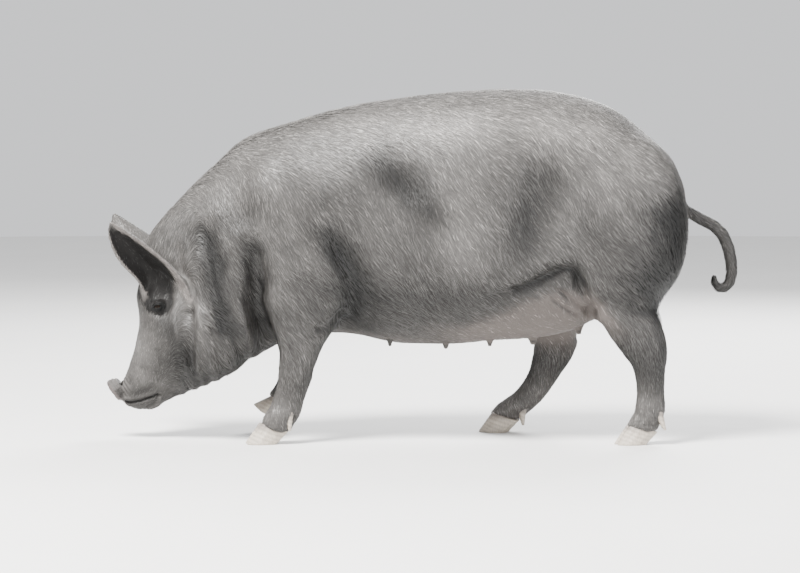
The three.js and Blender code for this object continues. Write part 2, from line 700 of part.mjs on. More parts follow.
// An ear as a leaf that opens outward: its front and rear edges in side view, how
// far out each lies, and how deep the hollow is.
const EAR = [
  { at: -0.18, front: [-624, 322], rear: [-516, 300], outFront: 58, outRear: 74, deep: 14 },
  { at: 0, front: [-634, 368], rear: [-506, 348], outFront: 80, outRear: 112, deep: 44 },
  { at: 0.2, front: [-650, 400], rear: [-517, 388], outFront: 94, outRear: 126, deep: 56 },
  { at: 0.4, front: [-676, 428], rear: [-545, 424], outFront: 104, outRear: 130, deep: 50 },
  { at: 0.6, front: [-696, 456], rear: [-584, 461], outFront: 112, outRear: 130, deep: 38 },
  { at: 0.8, front: [-709, 490], rear: [-632, 498], outFront: 120, outRear: 128, deep: 22 },
  { at: 0.93, front: [-713, 521], rear: [-675, 527], outFront: 124, outRear: 126, deep: 9 },
  { at: 1, front: [-708, 541], rear: [-700, 543], outFront: 126, outRear: 126, deep: 2 },
];

function earRing(row, side) {
  const outerWall = [];
  const innerWall = [];
  for (let i = 0; i <= EAR_STEPS; i += 1) {
    const t = i / EAR_STEPS;
    const bow = Math.sin(Math.PI * t);
    const x = THREE.MathUtils.lerp(row.front[0], row.rear[0], t);
    const z = THREE.MathUtils.lerp(row.front[1], row.rear[1], t);
    const out = THREE.MathUtils.lerp(row.outFront, row.outRear, t);
    const thick = EAR_THICK * (0.3 + 0.7 * bow) * Math.min(1, 0.25 + 3 * (1 - row.at));
    innerWall.push(new THREE.Vector3(x, side * (out - row.deep * bow), z));
    outerWall.push(new THREE.Vector3(x, side * (out - row.deep * bow - thick), z));
  }
  return [...innerWall, ...outerWall.reverse()];
}

function makeEar(side) {
  const geometry = loft(EAR.map((row) => earRing(row, side)));
  if (side > 0) {
    geometry.translate(-EAR_ROOT[0], 0, -EAR_ROOT[1]);
    geometry.rotateY(THREE.MathUtils.degToRad(EAR_RIGHT.turn));
    geometry.scale(EAR_RIGHT.size, 1, EAR_RIGHT.size);
    geometry.translate(EAR_ROOT[0] - EAR_RIGHT.ahead, 0, EAR_ROOT[1] + EAR_RIGHT.raise);
  }
  return toSolid(geometry);
}

// How far out the surface of the body lies at a place in side view.
function outAt(x, z) {
  let inside = 0;
  let outside = 300;
  for (let i = 0; i < 30; i += 1) {
    const y = (inside + outside) / 2;
    if (bodyField(x, y, z, true) < 0) inside = y;
    else outside = y;
  }
  return inside;
}

function ball(radius, across, around) {
  const geometry = new THREE.SphereGeometry(radius, around, across);
  geometry.rotateX(Math.PI / 2);
  return geometry;
}

function eyePlace(side) {
  const out = outAt(EYE_AT.x, EYE_AT.z) + EYE_SHOWING - EYE_RADIUS;
  return new THREE.Vector3(EYE_AT.x - EYE_AHEAD, side * out, EYE_AT.z);
}

function makeEye(side, grow) {
  const geometry = ball(EYE_RADIUS + grow, 7, 10);
  geometry.translate(...eyePlace(side));
  return toSolid(geometry);
}

// Turns the disc of the snout from facing up to facing ahead and down.
function placeSnout(geometry) {
  geometry.rotateY(-THREE.MathUtils.degToRad(90 + SNOUT_PITCH));
  geometry.translate(SNOUT_CENTRE.x, SNOUT_CENTRE.y, SNOUT_CENTRE.z);
  return geometry;
}

// The disc: an oval plate with a rounded rim and a gently swollen face.
function snoutDisc() {
  const levels = [
    { z: -SNOUT_THICK * 1.6, size: 0.78 },
    { z: -SNOUT_THICK * 0.95, size: 0.94 },
    { z: -SNOUT_THICK * 0.5, size: 1 },
    { z: -SNOUT_THICK * 0.1, size: 0.95 },
    { z: SNOUT_THICK * 0.15, size: 0.8 },
    { z: SNOUT_THICK * 0.3, size: 0.5 },
  ];
  const points = 12;
  const rings = levels.map(({ z, size }) =>
    Array.from({ length: points }, (_, i) => {
      const turn = (2 * Math.PI * i) / points;
      const high = SNOUT_HALF_HEIGHT * size * Math.cos(turn);
      const wide = SNOUT_HALF_WIDTH * size * Math.sin(turn);
      return new THREE.Vector3(high, wide, z);
    }),
  );
  return toSolid(placeSnout(loft(rings)));
}

function nostril(side) {
  const geometry = ball(1, 5, 8);
  geometry.scale(...NOSTRIL_SIZE);
  geometry.translate(-2, side * NOSTRIL_OUT, 0);
  return toSolid(placeSnout(geometry));
}

// Everything of the muzzle in front of a plane parallel to the disc.
function snoutSpace(grow) {
  const block = new THREE.BoxGeometry(220, 140, 60);
  block.translate(0, 0, 30 - SNOUT_THICK - grow);
  return toSolid(placeSnout(block));
}

// The lower jaw: everything under the line of the mouth, back to its corner.
function jawSpace(grow) {
  const lips = MOUTH_FRONT;
  const corner = MOUTH_CORNER;
  const length = lips.distanceTo(corner) + 60; // out past the lips
  const block = new THREE.BoxGeometry(length + grow, 160, 90 + grow);
  block.translate(-length / 2 + grow / 2, 0, -45 + grow / 2);
  block.rotateY(-Math.atan2(corner.y - lips.y, corner.x - lips.x));
  block.translate(corner.x, 0, corner.y);
  return toSolid(block);
}

function makeTail() {
  const centres = TAIL_LINE.map(([x, z]) => new THREE.Vector3(x, 0, z));
  const curve = new THREE.CatmullRomCurve3(centres, false, "centripetal");
  const radii = TAIL_RADII.map((value, i) => ({ at: i / (TAIL_RADII.length - 1), value }));
  const radius = profile(radii, "value");
  const steps = 13;
  const points = 7;
  const rings = [];
  for (let n = 0; n <= steps; n += 1) {
    const t = n / steps;
    const centre = curve.getPoint(t);
    const ahead = curve.getTangent(t);
    const across = new THREE.Vector3(0, 1, 0);
    const up = across.clone().cross(ahead);
    rings.push(
      Array.from({ length: points }, (_, i) => {
        const turn = (2 * Math.PI * i) / points;
        const p = centre.clone();
        p.addScaledVector(up, radius(t) * Math.cos(turn));
        return p.addScaledVector(across, radius(t) * Math.sin(turn));
      }),
    );
  }
  return toSolid(loft(rings));
}

// A teat hangs where a line rising under the belly meets it.
function makeTeat(x, side) {
  let bottom = 150;
  while (bodyField(x, side * TEAT_OUT, bottom, true) > 0 && bottom < 450) bottom += 1;
  const shape = [
    new THREE.Vector2(0, -TEAT_LENGTH * 0.7),
    new THREE.Vector2(TEAT_RADIUS * 0.6, -TEAT_LENGTH * 0.64),
    new THREE.Vector2(TEAT_RADIUS * 0.8, -TEAT_LENGTH * 0.3),
    new THREE.Vector2(TEAT_RADIUS * 1.5, TEAT_LENGTH * 0.3),
    new THREE.Vector2(0, TEAT_LENGTH * 0.5),
  ];
  const geometry = new THREE.LatheGeometry(shape, 7);
  geometry.rotateX(Math.PI / 2);
  geometry.rotateX(side * TEAT_SPLAY);
  geometry.translate(x, side * TEAT_OUT, bottom);
  return toSolid(geometry);
}

// ---------- assembly ----------

const sow = new THREE.Group();

function addPart(name, solid, look) {
  const mesh = new THREE.Mesh(toGeometry(solid), new THREE.MeshStandardMaterial(look));
  mesh.name = name;
  sow.add(mesh);
}

const bodyOf = (x, y, z) => bodyField(x, y, z, true);
const grownBody = (x, y, z) => bodyField(x, y, z, true) - GAP * 2;
const BODY_LOW = [-760, -306, 30];
const BODY_HIGH = [760, 306, 930];
const HEAD_LOW = [-770, -187, 34];
const HEAD_HIGH = [-440, 187, 610];

const [coarse, coarseGrown] = solidsOf([bodyOf, grownBody], BODY_LOW, BODY_HIGH, BODY_CELL);
const [fine, fineGrown] = solidsOf([bodyOf, grownBody], HEAD_LOW, HEAD_HIGH, HEAD_CELL);

const HEAD_BACK = new THREE.Vector3(-524, 0, 340);
const HEAD_TOWARD = new THREE.Vector3(-0.985, 0, -0.17).normalize();
const NECK_BACK = new THREE.Vector3(-338, 0, 400);
const NECK_TOWARD = new THREE.Vector3(-1, 0, -0.04).normalize();

function cutSpace(point, toward, grow) {
  return halfSpace(point.clone().addScaledVector(toward, -grow), toward, 2400);
}

const headSpace = cutSpace(HEAD_BACK, HEAD_TOWARD, 0);
const headSpaceGrown = cutSpace(HEAD_BACK, HEAD_TOWARD, GAP);
const neckSpace = cutSpace(NECK_BACK, NECK_TOWARD, 0);
const neckSpaceGrown = cutSpace(NECK_BACK, NECK_TOWARD, GAP);

function makeTrunk() {
  let trunk = coarse.subtract(neckSpaceGrown);
  for (const name of Object.keys(FEET)) trunk = trunk.subtract(legBlock(name, GAP));
  for (const x of TEAT_ROWS) {
    for (const side of [-1, 1]) trunk = trunk.add(makeTeat(x, side));
  }
  return trunk;
}

function makeHead() {
  let head = fine.intersect(headSpace);
  head = head.add(snoutDisc());
  for (const side of [-1, 1]) {
    head = head.subtract(nostril(side));
    head = head.subtract(makeEye(side, GAP));
  }
  return head;
}

function makeLeg(name) {
  const foot = FEET[name];
  const space = LEG_SPACES[name];
  const near = foot.side * foot.out;
  const low = [space.front - space.ahead - 10, near - 98, -20];
  const high = [space.back + 10, near + 98, space.cut + 40];
  const wholeBody = (x, y, z) => bodyField(x, y, z, false);
  let [leg] = solidsOf([wholeBody], low, high, LEG_CELL);
  leg = leg.intersect(legBlock(name, 0)).subtract(hoofSpace(foot));
  for (const outer of [true, false]) leg = leg.subtract(makeDewclaw(foot, outer, GAP));
  return leg;
}

const clearOfBody = coarseGrown.add(coarse);
const clearOfHead = fineGrown.add(fine);
const head = makeHead();
const snout = head.intersect(snoutSpace(0));
const restOfHead = head.subtract(snoutSpace(GAP));
addPart("trunk", makeTrunk(), HIDE);
addPart("neck", coarse.intersect(neckSpace).subtract(headSpaceGrown), HIDE);
addPart("head", restOfHead.subtract(jawSpace(GAP)), HIDE);
addPart("lower_jaw", restOfHead.intersect(jawSpace(0)), HIDE);
addPart("snout", snout, SNOUT_SKIN);
for (const side of [-1, 1]) {
  const which = side < 0 ? "left" : "right";
  const ear = makeEar(side).subtract(clearOfHead).subtract(clearOfBody);
  addPart(`ear_${which}`, ear, EAR_SKIN);
  addPart(`eye_${which}`, makeEye(side, 0), EYE_GLOSS);
}
addPart("tail", makeTail().subtract(clearOfBody), HIDE);
for (const [name, foot] of Object.entries(FEET)) {
  addPart(`leg_${name}`, makeLeg(name), HIDE);
  for (const outer of [true, false]) {
    const which = outer ? "outer" : "inner";
    addPart(`claw_${name}_${which}`, makeClaw(foot, outer), HORN);
    addPart(`dewclaw_${name}_${which}`, makeDewclaw(foot, outer, 0), HORN);
  }
}

// The origin is the middle of the footprint, on the floor.
sow.updateMatrixWorld(true);
const bounds = new THREE.Box3().setFromObject(sow);
const middle = bounds.getCenter(new THREE.Vector3());
sow.position.set(-middle.x, -middle.y, -bounds.min.z);
sow.updateMatrixWorld(true);

export default sow;
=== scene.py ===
"""A full-grown sow walking with her head lowered: one skin, a bristle coat, eyes and horn feet."""

import math

import bmesh
import bpy
import numpy as np
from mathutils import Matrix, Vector
from mathutils.bvhtree import BVHTree


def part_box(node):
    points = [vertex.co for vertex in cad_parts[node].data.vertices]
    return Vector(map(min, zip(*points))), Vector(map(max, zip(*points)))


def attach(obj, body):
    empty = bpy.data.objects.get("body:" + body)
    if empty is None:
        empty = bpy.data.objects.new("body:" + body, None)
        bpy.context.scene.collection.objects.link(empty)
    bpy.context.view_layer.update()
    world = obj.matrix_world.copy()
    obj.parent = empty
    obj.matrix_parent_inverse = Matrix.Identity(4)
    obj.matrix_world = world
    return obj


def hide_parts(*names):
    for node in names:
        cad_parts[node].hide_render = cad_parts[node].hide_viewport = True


bl_info = {
    "name": "Walking sow",
    "version": (1, 0, 0),
    "blender": (4, 5, 0),
    "location": "View3D > Sidebar > Sow",
    "description": "Builds the skin, coat, eyes and feet of a walking sow over its CAD frame",
    "category": "Object",
}

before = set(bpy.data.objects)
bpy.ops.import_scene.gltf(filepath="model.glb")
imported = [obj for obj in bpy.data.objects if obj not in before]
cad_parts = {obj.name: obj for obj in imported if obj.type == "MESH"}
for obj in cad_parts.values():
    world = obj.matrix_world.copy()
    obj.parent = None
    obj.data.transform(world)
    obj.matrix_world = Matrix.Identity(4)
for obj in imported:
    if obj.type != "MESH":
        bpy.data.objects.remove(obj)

# ---------- what the sow is made of ----------

SIDES = {"left": -1.0, "right": 1.0}
LEGS = ("fore_left", "fore_right", "hind_left", "hind_right")
FLESH = ("trunk", "neck", "head", "lower_jaw", "snout", "tail", "eye_left", "eye_right")
REPLACED = (
    "trunk",
    "neck",
    "head",
    "lower_jaw",
    "snout",
    "tail",
    "ear_left",
    "ear_right",
    *(f"leg_{leg}" for leg in LEGS),
)

# An ear as a leaf that opens outward. Each row gives its front and rear edges as shares
# of the ear's box in side view, how far out each lies, and how deep the hollow is.
EAR_ROWS = (
    (-0.30, (0.50, -0.28), (0.88, -0.44), -0.45, -0.40, 0.04),
    (-0.18, (0.436, -0.198), (0.93, -0.29), -0.10, -0.05, 0.20),
    (0.00, (0.387, 0.051), (1.014, -0.057), 0.307, 0.75, 0.60),
    (0.20, (0.309, 0.225), (0.960, 0.159), 0.504, 0.94, 0.76),
    (0.40, (0.181, 0.376), (0.823, 0.355), 0.644, 0.99, 0.68),
    (0.60, (0.083, 0.528), (0.632, 0.555), 0.757, 0.99, 0.52),
    (0.80, (0.020, 0.713), (0.397, 0.756), 0.869, 0.975, 0.30),
    (0.93, (0.000, 0.878), (0.186, 0.910), 0.925, 0.95, 0.125),
    (1.00, (0.024, 0.985), (0.062, 0.995), 0.953, 0.953, 0.028),
)
EAR_UP = 56  # rings from the root of an ear to its tip
EAR_ACROSS = 26  # points from its front edge to its rear one
# Share of the ear's width that the painted highlight along its rear rim takes, from the root to the tip.
EAR_RIM = ((-0.3, 0.0, 0.2, 0.4, 0.6, 0.85, 1.0), (0.34, 0.31, 0.19, 0.10, 0.10, 0.17, 0.6))

# The bowl that the ear's hollow runs down into, to the eye: places on the head in side
# view as shares of its box, with a radius in metres.
BOWL = (
    ((0.454, 0.645), 0.052),
    ((0.500, 0.580), 0.048),
    ((0.540, 0.535), 0.040),
    ((0.556, 0.517), 0.030),
)

# Creases of the skin: width and depth in metres, how far from the midplane each starts,
# and its line in side view as shares of a node's box.
FOLDS = (
    ("shoulder_front", "neck", 0.020, 0.016, 0.06,
     ((0.90, 0.54), (0.94, 0.436), (0.921, 0.343), (0.973, 0.258), (1.03, 0.16))),
    ("neck_band", "neck", 0.024, 0.006, 0.05,
     ((0.40, 0.60), (0.454, 0.467), (0.506, 0.351), (0.568, 0.250))),
    ("throat", "neck", 0.012, 0.006, 0.03,
     ((0.60, 0.30), (0.70, 0.17), (0.80, 0.07))),
    ("throat_low", "neck", 0.011, 0.005, 0.02,
     ((0.44, 0.22), (0.54, 0.10), (0.60, 0.02))),
    ("cheek", "head", 0.012, 0.008, 0.02,
     ((0.862, 0.48), (0.894, 0.313), (0.859, 0.11))),
    ("jowl", "neck", 0.014, 0.006, 0.03,
     ((0.245, 0.34), (0.26, 0.26), (0.24, 0.10))),
    ("elbow", "trunk", 0.022, 0.013, 0.07,
     ((0.191, 0.388), (0.222, 0.299), (0.224, 0.202), (0.207, 0.106))),
    ("shoulder_low", "trunk", 0.007, 0.007, 0.07,
     ((0.145, 0.097), (0.168, 0.120), (0.196, 0.160))),
    ("elbow_second", "trunk", 0.012, 0.004, 0.08,
     ((0.262, 0.30), (0.272, 0.20), (0.255, 0.10))),
    ("flank_front", "trunk", 0.008, 0.004, 0.06,
     ((0.53, 0.220), (0.60, 0.255))),
    ("flank", "trunk", 0.012, 0.011, 0.06,
     ((0.595, 0.252), (0.634, 0.275), (0.707, 0.330), (0.728, 0.325), (0.752, 0.241), (0.775, 0.165))),
    ("flank_inner", "trunk", 0.006, 0.004, 0.06,
     ((0.699, 0.248), (0.738, 0.197), (0.762, 0.173))),
    ("flank_inmost", "trunk", 0.005, 0.003, 0.06,
     ((0.680, 0.215), (0.715, 0.175), (0.738, 0.155))),
    ("ham_low", "trunk", 0.014, 0.004, 0.06,
     ((0.80, 0.20), (0.86, 0.16), (0.91, 0.17))),
    ("brow_fold", "head", 0.006, 0.003, 0.05,
     ((0.43, 0.60), (0.46, 0.55), (0.49, 0.52))),
)

# Painted shade in hollows, creases and places turned from the light, and, below 0, painted
# highlights where the light falls: the reach of each in metres, how strong it is, how far from the midplane
# it starts, and its line as shares of a node's box.
PAINTED_SHADE_AND_LIGHT = (
    ("shoulder_front", "neck", 0.026, 0.66, 0.06,
     ((0.952, 0.436), (0.921, 0.343), (0.973, 0.258), (1.066, 0.180))),
    ("neck_band", "neck", 0.046, 0.88, 0.05,
     ((0.412, 0.583), (0.454, 0.467), (0.506, 0.351), (0.568, 0.250))),
    ("neck_side", "neck", 0.044, 0.50, 0.05,
     ((0.738, 0.654), (0.789, 0.545), (0.862, 0.460))),
    ("upper_shoulder", "trunk", 0.050, 0.30, 0.07,
     ((0.105, 0.657), (0.185, 0.620), (0.223, 0.564))),
    ("elbow", "trunk", 0.050, 0.86, 0.07,
     ((0.161, 0.463), (0.191, 0.388), (0.220, 0.299), (0.223, 0.202), (0.207, 0.106))),
    ("behind_shoulder", "trunk", 0.060, 0.84, 0.07,
     ((0.285, 0.721), (0.355, 0.620), (0.395, 0.561))),
    ("flank_hollow", "trunk", 0.052, 0.60, 0.07,
     ((0.665, 0.664), (0.649, 0.612), (0.631, 0.553), (0.599, 0.449))),
    ("flank_fold", "trunk", 0.014, 0.50, 0.06,
     ((0.600, 0.262), (0.634, 0.281), (0.707, 0.330), (0.725, 0.330), (0.748, 0.241))),
    ("low_side", "trunk", 0.045, 0.36, 0.07,
     ((0.253, 0.228), (0.377, 0.213), (0.536, 0.250))),
    ("ham_side", "trunk", 0.055, 0.40, 0.05,
     ((0.787, 0.485), (0.837, 0.396), (0.878, 0.284))),
    ("ham_rear", "trunk", 0.070, 0.90, 0.03,
     ((0.949, 0.534), (0.961, 0.436), (0.945, 0.338), (0.915, 0.255))),
    ("thigh_back", "trunk", 0.018, 0.45, 0.03,
     ((0.912, 0.218), (0.922, 0.135))),
    ("face_side", "head", 0.034, 0.66, 0.03,
     ((0.621, 0.436), (0.730, 0.324), (0.827, 0.193))),
    ("upper_arm", "trunk", 0.018, 0.28, 0.07,
     ((0.104, 0.299), (0.143, 0.269))),
    ("arm_dark", "trunk", 0.016, 0.26, 0.07,
     ((0.105, 0.267), (0.132, 0.211), (0.155, 0.144))),
    ("muzzle_side", "head", 0.013, 0.60, 0.01,
     ((0.243, 0.079), (0.351, 0.089), (0.437, 0.104))),
    ("chin", "head", 0.012, 0.45, 0.01,
     ((0.457, 0.024), (0.652, 0.044), (0.869, 0.103))),
    ("throat_edge", "neck", 0.024, 0.45, 0.02,
     ((0.361, 0.026), (0.677, 0.097), (0.961, 0.152))),
    ("cheek_rim", "head", 0.014, -0.35, 0.03,
     ((0.769, 0.729), (0.833, 0.593), (0.855, 0.487))),
    ("jowl_edge", "neck", 0.028, -0.60, 0.05,
     ((0.195, 0.394), (0.351, 0.281), (0.455, 0.184))),
    ("elbow_point", "trunk", 0.007, -0.35, 0.07,
     ((0.154, 0.113), (0.191, 0.180))),
    ("arm_edge", "trunk", 0.014, -0.25, 0.07,
     ((0.116, 0.396), (0.161, 0.367), (0.186, 0.303))),
    ("face_front", "head", 0.032, -0.95, 0.01,
     ((0.307, 0.294), (0.361, 0.187), (0.447, 0.128))),
    ("upper_side", "trunk", 0.050, -0.75, 0.05,
     ((0.264, 0.835), (0.446, 0.872), (0.696, 0.850))),
    ("mid_side", "trunk", 0.060, -0.85, 0.07,
     ((0.434, 0.565), (0.472, 0.436), (0.490, 0.354))),
    ("haunch", "trunk", 0.040, -0.25, 0.07,
     ((0.752, 0.749), (0.786, 0.675), (0.813, 0.582))),
    ("hip", "trunk", 0.036, -0.45, 0.03,
     ((0.781, 0.842), (0.882, 0.711), (0.946, 0.595))),
)

# Broad hollows and swells of the flank: centre as shares of the trunk's box, radii, depth.
HOLLOWS = (
    ("behind_shoulder", (0.34, 0.63), (0.08, 0.13), 0.013),
    ("flank_hollow", (0.64, 0.57), (0.05, 0.14), 0.016),
    ("shoulder_swell", (0.10, 0.62), (0.11, 0.16), -0.006),
    ("rib_swell", (0.46, 0.60), (0.14, 0.20), -0.005),
    ("hip_swell", (0.78, 0.80), (0.07, 0.06), -0.006),
    ("ham_swell", (0.86, 0.50), (0.10, 0.16), -0.006),
)
# How far behind the front of the trunk each pair of teats hangs, and how far from the
# midplane, in metres.
TEATS = (0.1467, 0.3267, 0.4647, 0.5727, 0.6787, 0.7917)
TEATS_APART = 0.062

# The mouth and the fold at its corner, as shares of the head's box in side view.
MOUTH = (
    (0.0, 0.036),
    (0.113, 0.034),
    (0.222, 0.030),
    (0.332, 0.040),
    (0.429, 0.056),
    (0.500, 0.070),
    (0.541, 0.068),
)
LIP_CORNER = ((0.541, 0.068), (0.530, 0.030), (0.470, 0.004), (0.400, -0.010))
# The middle line of the tail, as shares of its box in side view.
TAIL_LINE = (
    (-0.35, 1.02),
    (0.0, 0.93),
    (0.25, 0.835),
    (0.53, 0.755),
    (0.745, 0.625),
    (0.87, 0.43),
    (0.915, 0.24),
    (0.855, 0.10),
    (0.71, 0.045),
    (0.585, 0.095),
    (0.553, 0.20),
)
# The rear edge of the ham, where the coat hangs longer.
HAM_EDGE = ((0.97, 0.50), (0.975, 0.38), (0.93, 0.22))

# How far the facets of each part are smoothed over, and how deep the skin lies in it.
SMOOTHING = {
    "body": 0.021,
    "head": 0.0085,
    "legs": 0.0075,
    "tail": 0.006,
    "muzzle": 0.0032,
    "ears": 0.0042,
    "teats": 0.0028,
}
DEPTH = {"body": 0.0030, "head": 0.0015, "legs": 0.0015, "bare": 0.0005}
GROWN = 0.0012  # how far the flesh nodes grow, so that they meet

EYE_RADIUS = 0.0125
LID_THICKNESS = 0.0022
SOCKET_RADIUS = 0.0095  # of the hollow behind the slit
LID_EDGE = 0.021  # from the middle of the eye to where the lids run into the face
EYE_RINGS = ((0.0105, 0.0010), (0.0150, 0.0008), (0.0195, 0.0006))  # radius and depth
DISC_WIDE = 0.0425  # half the width and height of the snout's disc
DISC_HIGH = 0.0295
NOSTRILS_APART = 0.015  # from the midplane to the middle of a nostril
NOSTRIL_WIDE = 0.0068  # half its width and height
NOSTRIL_HIGH = 0.0092

CLAW_CELL = 0.0018  # size of the cells that claws and dewclaws are made from
DEWCLAW_CELL = 0.0013
HORN_RINGS = 0.0105  # from one growth ring to the next

# Length, width and lift of a tuft in metres, and how many stand on a square metre.
BODY_TUFT = (0.029, 0.0015, 0.0013, 42000.0)
LOWER_LEG_TUFT = (0.016, 0.0012, 0.0011, 60000.0)
EAR_TUFT = (0.011, 0.0010, 0.0010, 60000.0)
# Where the rings of a tuft stand along it, for the long coat and for the rest.
LONG = np.array([0.0, 0.28, 0.64, 1.0])
SHORT = np.array([0.0, 0.45, 1.0])
LONG_FROM = 0.0335  # tufts longer than this have the rings of the long coat
SHORT_UP_TO = 0.0235  # and those up to this length are in the pieces of short coat
TONE_SPREAD = 0.34  # how much the tufts differ in tone
# Painted highlights: some tufts paler, standing in for the sheen on single bristles.
PAINTED_SHEEN_SHARE = 0.14  # how many of them are bright, and by how much
PAINTED_SHEEN = (1.4, 2.3)
PATCH = 0.003  # width of a tuft's patch on the map
MOST_TRIANGLES = 196000  # in one piece of coat
FAIRING_PASSES = 90

STATE = {}


# ---------- places in the frame ----------


def box(node):
    """Lowest and highest corner of a CAD node, kept after the first call."""
    kept = STATE.setdefault("boxes", {})
    if node not in kept:
        low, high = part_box(node)
        kept[node] = (np.array(low), np.array(high))
    return kept[node]


def centre(node):
    low, high = box(node)
    return (low + high) / 2


def spot(node, shares):
    """A place in side view, (x, z), from shares of a node's box."""
    low, high = box(node)
    size = high - low
    return np.array([low[0] + shares[0] * size[0], low[2] + shares[1] * size[2]])


def placed(node, line):
    """A line of places in side view from shares of a node's box."""
    return np.array([spot(node, shares) for shares in line])


def placed_rows(name, table):
    """The rows of a table with their lines in metres, kept after the first call."""
    if name not in STATE:
        STATE[name] = [(*numbers, placed(node, line)) for _, node, *numbers, line in table]
    return STATE[name]


def smooth(value, start, end):
    """0 at start, 1 at end, smooth between."""
    t = np.clip((value - start) / (end - start), 0.0, 1.0)
    return t * t * (3.0 - 2.0 * t)


def bell(value, middle, reach):
    """1 at the middle, falling away to both sides."""
    return np.exp(-(((value - middle) / reach) ** 2))


def ripple(distance, period, wander):
    """Even waves from -1 to 1, shifted by a wander in radians."""
    return np.cos(distance / period * 2 * np.pi + wander)


def mixed(one, other, share):
    """One value where the share is 0, the other where it is 1."""
    return one * (1 - share) + other * share


def unit(vectors):
    return vectors / np.maximum(np.linalg.norm(vectors, axis=-1, keepdims=True), 1e-9)


def hashed(cells, seed):
    """A repeatable value from 0 to 1 for each whole-numbered cell."""
    value = cells[..., 0] * 374761393 + cells[..., 1] * 668265263 + cells[..., 2] * 1440670441
    value = (value + seed * 1274126177) & 0xFFFFFFFF
    value = ((value ^ (value >> 13)) * 1103515245) & 0xFFFFFFFF
    return ((value ^ (value >> 16)) & 0xFFFF) / 65535.0


def noise(points, period, seed=0):
    """Smooth noise from -1 to 1 with features about a period apart."""
    scaled = points / period
    cell = np.floor(scaled).astype(np.int64)
    part = scaled - cell
    part = part * part * (3.0 - 2.0 * part)
    total = np.zeros(len(points))
    for corner in range(8):
        step = np.array([corner & 1, (corner >> 1) & 1, (corner >> 2) & 1])
        weight = np.prod(np.where(step == 1, part, 1.0 - part), axis=1)
        total += weight * hashed(cell + step, seed)
    return 2.0 * total - 1.0


def beside(points, a, b):
    """Share of the way from a to b in side view, and distance from that stretch."""
    flat = points[:, [0, 2]]
    along = b - a
    t = np.clip(((flat - a) @ along) / (along @ along), 0.0, 1.0)
    return t, np.linalg.norm(flat - a - t[:, None] * along, axis=1)


def from_line(points, line):
    """Distance in side view from each point to a broken line of (x, z) places."""
    best = np.full(len(points), 1e9)
    for a, b in zip(line[:-1], line[1:]):
        best = np.minimum(best, beside(points, a, b)[1])
    return best


# ---------- regions of the body ----------


def leg_share(points, leg):
    """1 on the part of a leg below the body, 0 above and elsewhere."""
    low, high = box(f"leg_{leg}")
    side = SIDES[leg.split("_")[1]]
    out = points[:, 1] * side
    inner = min(abs(low[1]), abs(high[1]))
    share = smooth(points[:, 2], high[2] + 0.01, high[2] - 0.07)
    share = share * smooth(out, inner - 0.03, inner)
    share = share * smooth(points[:, 0], low[0] - 0.06, low[0] - 0.03)
    return share * smooth(points[:, 0], high[0] + 0.06, high[0] + 0.03)


def head_share(points):
    low, high = box("head")
    back = high[0] - 0.045 + 0.17 * (points[:, 2] - (low[2] + high[2]) / 2)
    share = smooth(points[:, 0], back + 0.03, back - 0.03)
    return share * smooth(points[:, 2], high[2] + 0.01, high[2] - 0.05)


def snout_share(points):
    """1 on the bare disc at the end of the muzzle."""
    ahead = (points - snout_centre()) @ SNOUT_AHEAD
    near = np.linalg.norm(points - snout_centre(), axis=1)
    return smooth(ahead, -0.012, -0.006) * smooth(near, 0.075, 0.06)


def tail_share(points):
    low = box("tail")[0]
    return smooth(points[:, 0], low[0] + 0.004, low[0] + 0.02)


def ear_places(points):
    """For each point: nearness to an ear's shell, height up the ear, place from its front
    edge to its rear one, and 1 where the hollow face is the nearest."""
    kept = STATE.get("ear_places")
    if kept is not None and kept[0] is points:
        return kept[1]
    count = len(points)
    share, up, across, hollow = np.zeros(count), np.zeros(count), np.full(count, 0.5), np.zeros(count)
    for side, tree in STATE["ear_trees"].items():
        low, high = box(f"ear_{side}")
        inside = np.all((points > low - 0.02) & (points < high + 0.03), axis=1)
        for i in np.flatnonzero(inside):
            _, _, face, away = tree.find_nearest(Vector(points[i]), 0.02)
            if face is None:
                continue
            row, place = divmod(face, 2 * EAR_ACROSS)
            share[i] = 1.0 - min(1.0, max(0.0, (away - 0.003) / 0.006))
            up[i] = EAR_ROWS[0][0] + (EAR_ROWS[-1][0] - EAR_ROWS[0][0]) * (row + 0.5) / (EAR_UP - 1)
            hollow[i] = float(place < EAR_ACROSS - 1)
            place = place if place < EAR_ACROSS else 2 * EAR_ACROSS - 1 - place
            across[i] = min(1.0, (place + 0.5) / (EAR_ACROSS - 1))
    STATE["ear_places"] = (points, (share, up, across, hollow))
    return share, up, across, hollow


def ear_share(points):
    """1 on the ears."""
    return ear_places(points)[0]


def ear_shade_mask(points):
    """1 on the hollow face of each ear, inside its rim, which painted shade darkens."""
    share, up, across, hollow = ear_places(points)
    rim = np.interp(up, *EAR_RIM)
    inner = smooth(across, 1.0 - rim, 0.94 - rim) * smooth(across, 0.02, 0.07)
    return share * hollow * inner * smooth(up, 0.97, 0.90)


def ear_rim(points):
    """1 along the rear edge of each ear and thinly along the front one, where a painted highlight pales the
    rim.
    """
    share, up, across, hollow = ear_places(points)
    rim = np.interp(up, *EAR_RIM)
    rear = hollow * smooth(across, 0.96 - rim, 1.02 - rim)
    front = 0.6 * smooth(across, 0.06, 0.02)
    return share * np.maximum(rear, front)


def bowl_share(points):
    """1 in the bowl in front of each ear, fading out at its edge."""
    best = np.full(len(points), -1.0)
    for (a, wide_a), (b, wide_b) in zip(BOWL[:-1], BOWL[1:]):
        t, away = beside(points, spot("head", a), spot("head", b))
        best = np.maximum(best, 1.0 - away / (wide_a + (wide_b - wide_a) * t))
    return smooth(best, -0.10, 0.20) * smooth(np.abs(points[:, 1]), 0.035, 0.055)


